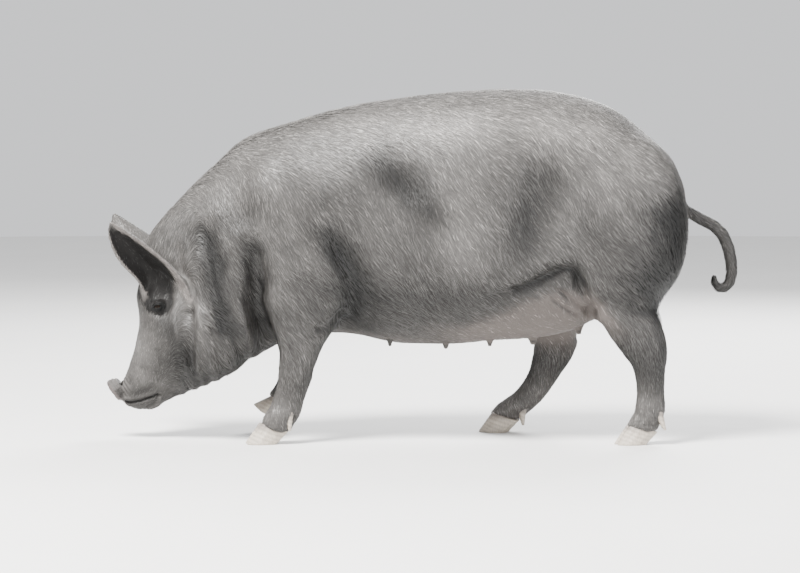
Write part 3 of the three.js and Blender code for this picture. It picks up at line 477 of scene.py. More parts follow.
def udder_share(points, normals):
    low, high = box("trunk")
    size = high - low
    x = (points[:, 0] - low[0]) / size[0]
    z = (points[:, 2] - low[2]) / size[2]
    under = 0.45 * smooth(x, 0.12, 0.25) * smooth(normals[:, 2], -0.80, -0.97)
    share = np.maximum(smooth(x, 0.32, 0.54), under) * smooth(x, 0.88, 0.78)
    reach = 0.10 + 0.14 * smooth(x, 0.45, 0.72) * smooth(x, 0.86, 0.74)
    share = share * smooth(z, reach + 0.05, reach - 0.02)
    for leg in LEGS:
        share = share * (1 - 0.8 * leg_share(points, leg))
    return share * smooth(normals[:, 2], 0.15, -0.25)


SNOUT_PITCH = math.radians(38)
SNOUT_AHEAD = np.array([-math.cos(SNOUT_PITCH), 0.0, -math.sin(SNOUT_PITCH)])
SNOUT_UP = np.array([-math.sin(SNOUT_PITCH), 0.0, math.cos(SNOUT_PITCH)])
HEAD_DOWN = unit(np.array([-0.3, 0.0, -0.954]))


def snout_centre():
    """The middle of the disc's front face."""
    low = box("snout")[0]
    return np.array([low[0] + 0.0131, 0.0, low[2] + 0.0432])


# ---------- meshes ----------


def link(name, mesh):
    made = bpy.data.objects.new(name, mesh)
    bpy.context.scene.collection.objects.link(made)
    return made


def mesh_of(name, points, faces):
    """A mesh from a list of points and of faces with any number of corners."""
    mesh = bpy.data.meshes.new(name)
    mesh.from_pydata([tuple(p) for p in points], [], [tuple(f) for f in faces])
    mesh.update()
    return mesh


def triangle_mesh(name, points, triangles):
    """A mesh from arrays of points and of triangles."""
    mesh = bpy.data.meshes.new(name)
    mesh.vertices.add(len(points))
    mesh.vertices.foreach_set("co", points.astype(np.float32).ravel())
    mesh.loops.add(triangles.size)
    mesh.loops.foreach_set("vertex_index", triangles.astype(np.int32).ravel())
    mesh.polygons.add(len(triangles))
    mesh.polygons.foreach_set("loop_start", np.arange(len(triangles), dtype=np.int32) * 3)
    mesh.update(calc_edges=True)
    return mesh


def points_of(mesh):
    flat = np.empty(len(mesh.vertices) * 3, np.float32)
    mesh.vertices.foreach_get("co", flat)
    return flat.reshape(-1, 3).astype(np.float64)


def normals_of(mesh):
    flat = np.empty(len(mesh.vertices) * 3, np.float32)
    mesh.vertex_normals.foreach_get("vector", flat)
    return flat.reshape(-1, 3).astype(np.float64)


def put_points(mesh, points):
    mesh.vertices.foreach_set("co", points.astype(np.float32).ravel())
    mesh.update()


def triangles_of(mesh):
    mesh.calc_loop_triangles()
    flat = np.empty(len(mesh.loop_triangles) * 3, np.int32)
    mesh.loop_triangles.foreach_get("vertices", flat)
    return flat.reshape(-1, 3)


def paint(mesh, colours, name="markings"):
    """Stores a colour for each vertex."""
    layer = mesh.color_attributes.get(name) or mesh.color_attributes.new(name, "FLOAT_COLOR", "POINT")
    full = np.ones((len(colours), 4), np.float32)
    full[:, :3] = colours
    layer.data.foreach_set("color", full.ravel())
    mesh.color_attributes.active_color = layer


def shade_smooth(mesh):
    mesh.polygons.foreach_set("use_smooth", np.ones(len(mesh.polygons), bool))
    mesh.update()


def applied(made, *modifiers):
    """The object's mesh replaced by its result under modifiers given as (type, settings)."""
    for kind, settings in modifiers:
        modifier = made.modifiers.new(kind.lower(), kind)
        for key, value in settings.items():
            setattr(modifier, key, value)
    graph = bpy.context.evaluated_depsgraph_get()
    mesh = bpy.data.meshes.new_from_object(made.evaluated_get(graph))
    made.modifiers.clear()
    made.data = mesh
    return mesh


def neighbour_table(mesh):
    """For each vertex, the vertices it shares an edge with, padded with itself."""
    count = len(mesh.vertices)
    edges = np.empty(len(mesh.edges) * 2, np.int32)
    mesh.edges.foreach_get("vertices", edges)
    edges = edges.reshape(-1, 2)
    here = np.concatenate([edges[:, 0], edges[:, 1]])
    there = np.concatenate([edges[:, 1], edges[:, 0]])
    order = np.argsort(here, kind="stable")
    here, there = here[order], there[order]
    valence = np.bincount(here, minlength=count)
    first = np.concatenate([[0], np.cumsum(valence)[:-1]])
    place = np.arange(len(here)) - first[here]
    table = np.repeat(np.arange(count, dtype=np.int32)[:, None], valence.max(), axis=1)
    table[here, place] = there
    return table, valence


def relaxed(points, table, valence, amount, passes):
    """Points moved towards the mean of their neighbours, by an amount for each."""
    width = table.shape[1]
    now = points.astype(np.float32)
    valence = valence.astype(np.float32)[:, None]
    pull = (amount.astype(np.float32)[:, None]) / valence
    spare = width - valence
    for _ in range(passes):
        total = now[table[:, 0]]
        for k in range(1, width):
            total = total + now[table[:, k]]
        now = now + pull * (total - (spare + valence) * now)
    return now.astype(np.float64)


def evened(points, table, valence, amount, passes):
    """Relaxed without the loss of volume that one plain pass brings."""
    once = relaxed(points, table, valence, amount, passes)
    twice = relaxed(once, table, valence, amount, passes)
    return 2.0 * once - twice


# ---------- the skin's shape ----------


def curve_rows(rows, steps):
    """Rows of numbers by a first column, as smooth curves read at even steps."""
    at = np.array([row[0] for row in rows])
    rest = np.array([row[1:] for row in rows])
    t = np.linspace(at[0], at[-1], steps)
    slope = np.gradient(rest, at, axis=0)
    place = np.clip(np.searchsorted(at, t, side="right") - 1, 0, len(at) - 2)
    run = at[place + 1] - at[place]
    s = ((t - at[place]) / run)[:, None]
    run = run[:, None]
    curves = (
        (2 * s**3 - 3 * s**2 + 1) * rest[place]
        + (s**3 - 2 * s**2 + s) * run * slope[place]
        + (3 * s**2 - 2 * s**3) * rest[place + 1]
        + (s**3 - s**2) * run * slope[place + 1]
    )
    return t, curves


def ear_rings(side, settings):
    """The rings of an ear from its root to its tip, each a thin closed leaf section."""
    low, high = box(f"ear_{side}")
    size = high - low
    sign = SIDES[side]
    near = abs(low[1]) if sign > 0 else abs(high[1])
    far = abs(high[1]) if sign > 0 else abs(low[1])
    t, rows = curve_rows([(at, *front, *rear, *rest) for at, front, rear, *rest in EAR_ROWS], EAR_UP)
    across = np.linspace(0.0, 1.0, EAR_ACROSS)
    bow = np.sin(np.pi * across)
    outward = np.array([0.0, sign, 0.0])
    rings = []
    for at, (fx, fz, rx, rz, out_front, out_rear, deep) in zip(t, rows):
        front = np.array([low[0] + size[0] * fx, 0.0, low[2] + size[2] * fz])
        rear = np.array([low[0] + size[0] * rx, 0.0, low[2] + size[2] * rz])
        wide = np.linalg.norm(rear - front)
        along = (rear - front) / wide
        thick = settings.ear_thickness * (0.72 + 0.28 * bow) * min(1.0, 0.55 + 2.5 * (1.0 - at))
        inset = min(0.7 * thick[0], 0.2 * wide)
        run = inset + (wide - 2.0 * inset) * across
        out = near + (far - near) * (out_front + (out_rear - out_front) * across - deep * bow)
        slope = np.gradient(out, run)
        inward = unit(slope[:, None] * along - outward)
        rim = 0.0014 * (bell(across, 0.0, 0.07) + bell(across, 1.0, 0.09))
        ridge = 0.0024 * bell(across, 0.42, 0.05) + 0.0018 * bell(across, 0.62, 0.04)
        ridge = ridge * smooth(at, -0.1, 0.15) * smooth(at, 0.95, 0.6)
        flesh = 0.034 * smooth(across, 0.55, 0.95) + 0.020 * smooth(across, 0.35, 0.0)
        flesh = flesh * smooth(at, 0.42, 0.0)
        middle = front + run[:, None] * along + out[:, None] * outward
        hollow_face = middle - inward * (rim + ridge)[:, None]
        back_face = middle + inward * thick[:, None] - outward * flesh[:, None]
        rings.append(np.concatenate([hollow_face, back_face[::-1]]))
    return np.array(rings)


def ear_mesh(side, settings):
    rings = ear_rings(side, settings)
    rows, count = rings.shape[:2]
    faces = []
    for r in range(rows - 1):
        for i in range(count):
            a, b = r * count + i, r * count + (i + 1) % count
            faces.append((a, b, b + count, a + count))
    faces.append(tuple(range(count - 1, -1, -1)))
    faces.append(tuple((rows - 1) * count + i for i in range(count)))
    if SIDES[side] < 0:
        faces = [face[::-1] for face in faces]
    mesh = mesh_of(f"ear_{side}_shell", rings.reshape(-1, 3), faces)
    check = bmesh.new()
    check.from_mesh(mesh)
    bmesh.ops.recalc_face_normals(check, faces=check.faces)
    check.to_mesh(mesh)
    check.free()
    STATE.setdefault("ear_trees", {})[side] = BVHTree.FromPolygons(
        [Vector(p) for p in rings.reshape(-1, 3)], [tuple(f) for f in faces[:-2]]
    )
    return mesh


def flesh_mesh(settings):
    """All the flesh nodes as one mesh of overlapping shells, each grown to meet the next."""
    whole = bmesh.new()
    for node in (*FLESH, *(f"leg_{leg}" for leg in LEGS)):
        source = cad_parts[node]
        copy = bmesh.new()
        copy.from_mesh(source.data)
        bmesh.ops.remove_doubles(copy, verts=copy.verts, dist=1e-6)
        copy.normal_update()
        grown = [v.co + v.normal * GROWN for v in copy.verts]
        for vertex, place in zip(copy.verts, grown):
            vertex.co = place
        mesh = bpy.data.meshes.new("copy")
        copy.to_mesh(mesh)
        copy.free()
        whole.from_mesh(mesh)
        bpy.data.meshes.remove(mesh)
    for side in SIDES:
        mesh = ear_mesh(side, settings)
        whole.from_mesh(mesh)
        bpy.data.meshes.remove(mesh)
    mesh = bpy.data.meshes.new("flesh")
    whole.to_mesh(mesh)
    whole.free()
    return mesh


def teat_places():
    """Where each teat hangs, (x, y), with the height of its tip."""
    if "teats" not in STATE:
        front = box("trunk")[0][0]
        skin = points_of(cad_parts["trunk"].data)
        found = []
        for x in TEATS:
            for side in SIDES.values():
                place = np.array([front + x, side * TEATS_APART])
                near = np.linalg.norm(skin[:, :2] - place, axis=1) < 0.02
                near &= skin[:, 2] < 0.45
                if near.any():
                    found.append((place[0], place[1], skin[near, 2].min()))
        STATE["teats"] = np.array(found)
    return STATE["teats"]


def teat_share(points):
    """1 on the teats."""
    share = np.zeros(len(points))
    for x, y, tip in teat_places():
        away = np.hypot(points[:, 0] - x, points[:, 1] - y)
        near = smooth(away, 0.028, 0.014) * smooth(points[:, 2], tip + 0.055, tip + 0.030)
        share = np.maximum(share, near)
    return share


def ear_distance(points, reach):
    """Distance to the nearest ear, or the reach where it is farther."""
    away = np.full(len(points), reach)
    for side, tree in STATE["ear_trees"].items():
        low, high = box(f"ear_{side}")
        for i in np.flatnonzero(np.all((points > low - reach) & (points < high + reach), axis=1)):
            found = tree.find_nearest(Vector(points[i]), reach)
            if found[2] is not None:
                away[i] = min(away[i], found[3])
    return away


def all_legs_share(points):
    """1 on the part of any leg below the body."""
    return np.max([leg_share(points, leg) for leg in LEGS], axis=0)


def smoothing_reach(points):
    """How far the facets are smoothed over, in metres, for each point."""
    muzzle = smooth(np.linalg.norm(points - snout_centre(), axis=1), 0.09, 0.05)
    reach = np.full(len(points), SMOOTHING["body"])
    reach = mixed(reach, SMOOTHING["head"], head_share(points))
    reach = mixed(reach, SMOOTHING["legs"], all_legs_share(points))
    reach = mixed(reach, SMOOTHING["tail"], tail_share(points))
    reach = mixed(reach, SMOOTHING["muzzle"], muzzle)
    reach = mixed(reach, SMOOTHING["ears"], ear_share(points))
    reach = np.minimum(reach, SMOOTHING["ears"] + 0.28 * ear_distance(points, 0.06))
    return mixed(reach, SMOOTHING["teats"], teat_share(points))


def coat_depth(points, normals):
    """How far the skin lies inside the solids, which reach to the tips of the coat."""
    depth = mixed(np.full(len(points), DEPTH["body"]), DEPTH["head"], head_share(points))
    for leg in LEGS:
        depth = mixed(depth, DEPTH["legs"], leg_share(points, leg))
    depth = depth * (1 - 0.7 * udder_share(points, normals))
    bare = np.maximum(snout_share(points), np.maximum(ear_share(points), tail_share(points)))
    return mixed(depth, DEPTH["bare"], bare)


def painted_shade_and_light(points):
    """How much the painted shades darken, and the painted highlights lighten, each place."""
    tone = np.ones(len(points))
    ragged = 1.0 + 0.35 * noise(points, 0.035, 61) + 0.30 * noise(points, 0.011, 62)
    for reach, amount, start, line in placed_rows("shades", PAINTED_SHADE_AND_LIGHT):
        share = smooth(np.abs(points[:, 1]), start, start + 0.05)
        away = from_line(points, line) / reach * ragged
        tone *= 1.0 - amount * share * bell(away, 0.0, 1.0)
    return tone


def crease(away, wide, deep):
    """The height of a crease with a low swell along each bank."""
    cut = -deep * bell(away, 0.0, wide)
    return cut + 0.30 * deep * bell(away, 2.3 * wide, 1.1 * wide)


def fold_height(points):
    """The creases of the skin, which wander a little from their lines."""
    height = np.zeros(len(points))
    wander = 0.006 * noise(points, 0.05, 3)
    for wide, deep, start, line in placed_rows("folds", FOLDS):
        share = smooth(np.abs(points[:, 1]), start, start + 0.045)
        away = np.abs(from_line(points, line) + wander * min(1.0, wide / 0.01))
        height += share * crease(away, wide, deep)
    return height


def hollow_height(points, normals):
    """The broad hollows and swells of the sides."""
    low, high = box("trunk")
    size = high - low
    height = np.zeros(len(points))
    share = smooth(np.abs(normals[:, 1]), 0.25, 0.7)
    for _, (fx, fz), (rx, rz), deep in HOLLOWS:
        u = (points[:, 0] - low[0] - fx * size[0]) / (rx * size[0])
        w = (points[:, 2] - low[2] - fz * size[2]) / (rz * size[2])
        height -= deep * np.exp(-(u * u + w * w)) * share
    return height


def eye_axes(side):
    """Centre of the eye and its outward, long and upright directions."""
    sign = SIDES[side]
    out = unit(np.array([-0.30, sign * 0.94, 0.10]))
    along = np.array([1.0, 0.0, 0.16])
    along = unit(along - out * (along @ out))
    up = np.cross(along, out) * sign
    if up[2] < 0:
        up = -up
    return centre(f"eye_{side}"), out, along, up


def open_half(u, settings, upper):
    """Half the height of the almond opening at each place along it."""
    half = settings.eye_width / 2
    t = np.clip(u / half, -1.0, 1.0)
    arch = (1.0 - np.abs(t) ** 2.2) ** 0.9
    return (settings.eye_height * (0.58 if upper else 0.42)) * arch


def lid_height(u, v, h, settings):
    """Height of the lids over the eye's middle: u along the slit, v up, h the skin's own."""
    away = np.hypot(u, v)
    lid_radius = EYE_RADIUS + LID_THICKNESS
    dome = np.sqrt(np.clip(lid_radius**2 - np.minimum(away, EYE_RADIUS) ** 2, 0, None))
    height = mixed(h, np.maximum(dome, h - 0.002), smooth(away, LID_EDGE, 0.5 * LID_EDGE))
    above = v > 0
    edge = np.where(above, open_half(u, settings, True), open_half(u, settings, False))
    beyond = np.abs(u) > settings.eye_width / 2
    gap = np.where(beyond, np.hypot(v, np.abs(u) - settings.eye_width / 2), np.abs(v) - edge)
    height = height + 0.0011 * bell(gap, 0.0013, 0.0011) * (away < 0.02)
    crease_at = np.where(above, gap - 0.0062, -gap - 0.0052)
    height = height - 0.0016 * bell(crease_at, 0.0, 0.0012) * (np.abs(u) < 0.016)
    for ring, deep in EYE_RINGS:
        bent = np.abs(np.hypot(u * 0.82, v) - ring)
        height = height - deep * bell(bent, 0.0, 0.0013) * smooth(v, 0.004, -0.004)
        height = height - 0.7 * deep * bell(bent, 0.0, 0.0015) * smooth(v, -0.002, 0.005)
    inside = smooth(gap, 0.0004, -0.0008) * (~beyond)
    bottom = np.minimum(away, SOCKET_RADIUS - 0.0002)
    socket = np.sqrt(np.clip(SOCKET_RADIUS**2 - bottom**2, 0, None))
    return mixed(height, socket, inside)


def with_eyelids(points, settings):
    """The skin round each eye shaped into lids that lie on the ball, with a slit."""
    shaped = points.copy()
    for side in SIDES:
        middle, out, along, up = eye_axes(side)
        local = points - middle
        u, v, h = local @ along, local @ up, local @ out
        near = (np.hypot(u, v) < 0.034) & (h > -0.012)
        u, v = u[near], v[near]
        height = lid_height(u, v, h[near], settings)
        shaped[near] = middle + u[:, None] * along + v[:, None] * up + height[:, None] * out
    return shaped


def nostril_distance(local, sign):
    """Distance from the middle of a nostril, 1 at its edge."""
    wide = (local[:, 1] - sign * NOSTRILS_APART) / NOSTRIL_WIDE
    return np.sqrt(wide**2 + ((local @ SNOUT_UP) / NOSTRIL_HIGH) ** 2)


def muzzle_height(points):
    """Rings of skin behind the disc, its raised rim and the lips of the nostrils."""
    local = points - snout_centre()
    ahead = local @ SNOUT_AHEAD
    high = local @ SNOUT_UP
    wide = local[:, 1]
    near = smooth(np.linalg.norm(local, axis=1), 0.13, 0.085)
    behind = -ahead - 0.010
    rings = ripple(behind, 0.0082, 0.8 * noise(points, 0.03, 5))
    fade = smooth(behind, 0.0, 0.006) * smooth(behind, 0.075, 0.02)
    top = smooth(high, -0.03, 0.01)
    height = 0.0011 * rings * fade * near * (0.35 + 0.65 * top)
    ring = np.sqrt((wide / DISC_WIDE) ** 2 + (high / DISC_HIGH) ** 2)
    disc = smooth(ahead, -0.016, -0.006)
    height += 0.0024 * bell(ring, 0.88, 0.10) * disc
    height -= 0.0018 * bell(ring, 0.66, 0.12) * disc
    for sign in SIDES.values():
        height += 0.0022 * bell(nostril_distance(local, sign), 1.45, 0.30) * disc
    height -= 0.0014 * bell(wide, 0.0, 0.0022) * disc * smooth(ring, 0.9, 0.6)
    return height


def mouth_height(points):
    """The groove of the mouth, its lips and the fold at its corner."""
    away = from_line(points, placed("head", MOUTH))
    corner = from_line(points, placed("head", LIP_CORNER))
    front = box("head")[0][0]
    share = smooth(np.abs(points[:, 1]), 0.004, 0.014)
    share = share * smooth(points[:, 0], front + 0.135, front + 0.12)
    height = -0.0060 * bell(away, 0.0, 0.0028)
    height += 0.0020 * bell(away, 0.0080, 0.004)
    height += 0.0042 * bell(corner, 0.0, 0.0045)
    height -= 0.0030 * bell(corner, 0.010, 0.0035)
    return height * share


def leg_height(points, normals):
    """Knees, hocks, tendons and the wrinkles above the feet."""
    height = np.zeros(len(points))
    for leg in LEGS:
        share = leg_share(points, leg)
        low, high = box(f"leg_{leg}")
        z = (points[:, 2] - low[2]) / (high[2] - low[2])
        joint = 0.56 if leg.startswith("fore") else 0.70
        swell = bell(z, joint, 0.11) * 0.0022
        swell += bell(z, 0.22, 0.09) * 0.0018
        side = np.abs(normals[:, 1])
        tendon = -0.0022 * smooth(z, 0.18, 0.30) * smooth(z, 0.75, 0.5) * side
        wrinkle = 0.0004 * ripple(points[:, 2], 0.0085, 3.5 * noise(points, 0.03, 9))
        wrinkle = wrinkle * smooth(z, 0.36, 0.20)
        ankle = 0.0006 * ripple(points[:, 2], 0.011, 3.2 * noise(points, 0.04, 10))
        ankle = ankle * bell(z, joint, 0.14) * smooth(normals[:, 0], -0.2, -0.8)
        band = 0.0026 * bell(z, 0.035, 0.035)
        height += share * (swell + tendon + wrinkle + ankle + band)
    return height


def loose_height(points):
    """Low, irregular relief of muscle and fat, with finer puckers in the neck."""
    body = 1.0 - head_share(points)
    rest = 1.0 - np.maximum(ear_share(points), tail_share(points))
    height = 0.0030 * noise(points, 0.16, 21) + 0.0014 * noise(points, 0.07, 22)
    height = height * body * rest
    low, high = box("neck")
    t = (points[:, 0] - low[0]) / (high[0] - low[0])
    neck = smooth(t, -0.05, 0.15) * smooth(t, 1.05, 0.85)
    slanted = points[:, 0] + 0.25 * points[:, 2]
    pleats = ripple(slanted, 0.036, 2.6 * noise(points, 0.12, 23))
    lower = smooth(points[:, 2], high[2] - 0.16, low[2] + 0.12)
    height += 0.0022 * pleats * neck * lower * rest
    height += 0.0008 * noise(points, 0.022, 24) * head_share(points) * rest
    return height


def bowl_height(points, normals):
    """The hollow of the ear carried on down the head, deepest under the ear."""
    side = np.sign(points[:, 1])
    outward = smooth(normals[:, 1] * side, 0.05, 0.5) * (1.0 - ear_share(points))
    return -0.0035 * bowl_share(points) * outward


def sculpted(mesh, settings):
    """Places of the skin with all its relief, which fades out beside the thin ears."""
    points, normals = points_of(mesh), normals_of(mesh)
    height = fold_height(points) + hollow_height(points, normals)
    height += leg_height(points, normals) + loose_height(points)
    height *= smooth(ear_distance(points, 0.035), 0.006, 0.030)
    height += muzzle_height(points) + mouth_height(points) + bowl_height(points, normals)
    return with_eyelids(points + normals * height[:, None], settings)


def refined(mesh, passes):
    """Splits the edges near some places, in passes of (places, reach)."""
    work = bmesh.new()
    work.from_mesh(mesh)
    for places, reach in passes:
        points = np.array([v.co for v in work.verts])
        near = np.zeros(len(points), bool)
        for place in places:
            near |= np.linalg.norm(points - place, axis=1) < reach
        chosen = set(np.flatnonzero(near).tolist())
        work.verts.index_update()
        edges = [e for e in work.edges if e.verts[0].index in chosen and e.verts[1].index in chosen]
        bmesh.ops.subdivide_edges(work, edges=edges, cuts=1, use_grid_fill=True)
        bmesh.ops.triangulate(work, faces=[f for f in work.faces if len(f.verts) > 4])
    work.to_mesh(mesh)
    work.free()
    mesh.update()


def near_details(points, reach):
    """1 round the eyes and the disc of the snout, where the faces stay small."""
    away = np.linalg.norm(points - snout_centre(), axis=1) * 0.55
    for side in SIDES:
        away = np.minimum(away, np.linalg.norm(points - eye_axes(side)[0], axis=1))
    return smooth(away, reach, 0.6 * reach)


def thinned(made, settings):
    """The skin with fewer triangles where it is flat, and all of them at the eyes."""
    mesh = made.data
    total = len(triangles_of(mesh))
    group = made.vertex_groups.new(name="thin")
    free = np.flatnonzero(near_details(points_of(mesh), 0.036) < 0.5)
    group.add(free.tolist(), 1.0, "REPLACE")
    ratio = min(1.0, settings.skin_triangles / total)
    mesh = applied(
        made,
        ("TRIANGULATE", {}),
        ("DECIMATE", {"ratio": ratio, "vertex_group": "thin", "vertex_group_factor": 1.0}),
    )
    made.vertex_groups.clear()
    work = bmesh.new()
    work.from_mesh(mesh)
    bmesh.ops.triangulate(work, faces=[f for f in work.faces if len(f.verts) > 3])
    work.to_mesh(mesh)
    work.free()
    return mesh


def build_skin(settings):
    voxel = settings.voxel
    made = link("skin", flesh_mesh(settings))
    mesh = applied(made, ("REMESH", {"mode": "VOXEL", "voxel_size": voxel}))
    points = points_of(mesh)
    table, valence = neighbour_table(mesh)
    reach = smoothing_reach(points)
    amount = np.clip(reach**2 / (0.5 * FAIRING_PASSES * voxel**2), 0.0, 0.95)
    points = evened(points, table, valence, amount, FAIRING_PASSES)
    put_points(mesh, points)
    normals = normals_of(mesh)
    put_points(mesh, points - normals * coat_depth(points, normals)[:, None])
    eyes = [eye_axes(side)[0] for side in SIDES]
    refined(mesh, ((eyes, 0.032), (eyes, 0.024), ([snout_centre()], 0.062)))
    points = points_of(mesh)
    table, valence = neighbour_table(mesh)
    points = relaxed(points, table, valence, 0.5 * near_details(points, 0.06), 3)
    put_points(mesh, points)
    put_points(mesh, sculpted(mesh, settings))
    mesh = thinned(made, settings)
    shade_smooth(mesh)
    finish_skin(made, mesh)
    return made


def finish_skin(made, mesh):
    points, normals = points_of(mesh), normals_of(mesh)
    paint(mesh, markings(points, normals))
    moist = mesh.attributes.new("moist", "FLOAT", "POINT")
    moist.data.foreach_set("value", snout_share(points).astype(np.float32))
    unwrap(made)
    mesh.materials.clear()
    mesh.materials.append(skin_material())
    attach(made, "root")
    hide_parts(*REPLACED)


def unwrap(made):
    """Lays the skin out flat in islands by the way its faces point."""
    for layer in list(made.data.uv_layers):
        made.data.uv_layers.remove(layer)
    made.data.uv_layers.new(name="OFBake")
    bpy.ops.object.select_all(action="DESELECT")
    made.select_set(True)
    bpy.context.view_layer.objects.active = made
    bpy.ops.object.mode_set(mode="EDIT")
    bpy.ops.mesh.select_all(action="SELECT")
    bpy.ops.uv.smart_project(angle_limit=math.radians(72), island_margin=0.001)
    bpy.ops.object.mode_set(mode="OBJECT")


# ---------- colours shared by the skin and the coat, with painted light and shade ---


def colour_of(name):
    """One of the colours that the panel holds."""
    return np.array(getattr(bpy.context.scene.sow_colours, name))


def hollow_share(points, normals):
    """1 on the hollow of each ear and in the bowl below it, which painted shade darkens."""
    side = np.sign(points[:, 1])
    bowl = bowl_share(points) * smooth(normals[:, 1] * side, -0.1, 0.4)
    back = ear_share(points) * (1.0 - ear_places(points)[3])
    return np.maximum(ear_shade_mask(points), bowl * (1 - back) * (1 - ear_rim(points)))


def streaks(points, normals):
    """Fine streaks of tone that run with the coat, from -1 to 1."""
    down = unit(np.array([0.56, 0.0, -0.83]))
    across = np.array([down[2], 0.0, -down[0]])
    side = np.stack([points @ down * 0.10, points @ across, points[:, 1] * 0.6], axis=1)
    top = np.stack([points[:, 0] * 0.10, points[:, 1], points[:, 2] * 0.6], axis=1)
    share = smooth(normals[:, 2], 0.6, 0.9)
    fine = mixed(noise(side, 0.0042, 71), noise(top, 0.0042, 72), share)
    broad = mixed(noise(side, 0.011, 73), noise(top, 0.011, 74), share)
    return 0.6 * fine + 0.6 * broad


def hide_tone(points, normals):
    """How pale the slate hide is at each place: mottling and streaks, painted shade in the creases, the
    painted shades and highlights, and painted light from above.
    """
    tone = 1.0 + 0.12 * noise(points, 0.21, 31) + 0.08 * noise(points, 0.06, 32)
    tone *= 1.0 + 0.06 * noise(points, 0.015, 33)
    # painted shade along the creases of the skin
    for wide, deep, start, line in placed_rows("folds", FOLDS):
        share = smooth(np.abs(points[:, 1]), start, start + 0.04)
        strength = min(0.45, 35.0 * deep)
        tone *= 1.0 - strength * share * bell(from_line(points, line), 0.0, 1.2 * wide)
    # the painted shades and painted highlights of the table
    tone *= painted_shade_and_light(points)
    # painted light: faces turned up paler and faces turned down darker, as if lit from above
    tone *= 1.0 + 0.45 * smooth(normals[:, 2], 0.0, 0.9)
    tone *= 1.0 - 0.35 * smooth(normals[:, 2], 0.15, -0.5)
    body = (1 - head_share(points)) * (1 - ear_share(points))
    return tone * (1.0 + 0.20 * streaks(points, normals) * body)


def leg_tone(points):
    """Painted shade on the legs, much stronger on the hind legs, and all legs paler just above the feet."""
    tone = np.ones(len(points))
    for leg in LEGS:
        share = leg_share(points, leg)
        z = points[:, 2] - box(f"leg_{leg}")[0][2]
        # painted shade on the legs, strongest on the hind legs
        dark = 0.58 * smooth(z, 0.06, 0.16) if leg.startswith("hind") else 0.10
        tone *= 1 - dark * share
        tone *= 1 + 0.45 * (share * smooth(z, 0.12, 0.03))
    return tone


def mouth_tone(points):
    """Painted shade along the groove of the mouth, and a painted highlight on the fold at its corner."""
    near = head_share(points) * smooth(points[:, 2], 0.2, 0.16)
    near = near * smooth(np.abs(points[:, 1]), 0.004, 0.014)
    mouth = bell(from_line(points, placed("head", MOUTH)), 0.0, 0.0042) * near
    corner = bell(from_line(points, placed("head", LIP_CORNER)), 0.0, 0.0045) * near
    return (1.0 + 0.9 * corner) * (1.0 - 0.80 * mouth)


def markings(points, normals):
    """The colour of skin and coat at each place, with painted shade and painted highlights in it."""

    def over(colour, other, share):
        return mixed(colour, other, share[:, None])

    hide, tone = colour_of("hide"), hide_tone(points, normals)[:, None]
    mottle = smooth(noise(points, 0.010, 63), 0.1, 0.8) * head_share(points)
    ruffle = 1.0 + 0.25 * noise(points, 0.006, 64)[:, None]
    colour = hide * tone * (1 - 0.30 * mottle[:, None])
    udder = colour_of("udder") * (0.75 + 0.25 * tone)
    colour = over(colour, udder, 0.70 * udder_share(points, normals))
    colour = over(colour, hide * 1.2 * (0.8 + 0.2 * tone), ear_share(points))
    # painted shade in the hollow of each ear and the bowl below it
    colour = over(colour, colour_of("ear_hollow") * ruffle, hollow_share(points, normals))
    # painted highlight along the rims of the ears
    rim = ear_rim(points) * smooth(ear_places(points)[1], -0.25, 0.05)
    colour = over(colour, colour_of("ear_rim") * ruffle, rim)
    # painted shade on the legs and in the mouth's groove, painted highlight on the fold at its corner
    colour = colour * (leg_tone(points) * mouth_tone(points))[:, None]
    colour *= 1.0 - 0.40 * tail_share(points)[:, None]
    colour *= 1.0 - 0.75 * eye_shadow(points)[:, None]
    disc = colour_of("snout") * (1.0 + 0.25 * noise(points, 0.009, 34)[:, None])
    colour = over(colour, disc, snout_share(points))
    # painted shade standing in for the openings of the nostrils
    colour *= 1.0 - 0.93 * nostril_share(points)[:, None]
    return np.clip(colour, 0.004, 0.9)


def eye_shadow(points):
    """1 on the dark rims of the lids, fading out round the eye."""
    shade = np.zeros(len(points))
    for side in SIDES:
        middle, _, along, up = eye_axes(side)
        local = points - middle
        away = np.hypot((local @ along) / 0.0190, (local @ up) / 0.0115)
        near = smooth(np.linalg.norm(local, axis=1), 0.03, 0.02)
        shade = np.maximum(shade, smooth(away, 1.2, 0.6) * near)
    return shade


# 1 on the nostrils, which painted shade darkens into openings
def nostril_share(points):
    local = points - snout_centre()
    share = np.zeros(len(points))
    for sign in SIDES.values():
        deep = smooth(local @ SNOUT_AHEAD, -0.0015, -0.0050)
        share = np.maximum(share, smooth(nostril_distance(local, sign), 1.15, 0.85) * deep)
    return share * (np.linalg.norm(local, axis=1) < 0.04)


# ---------- the coat ----------


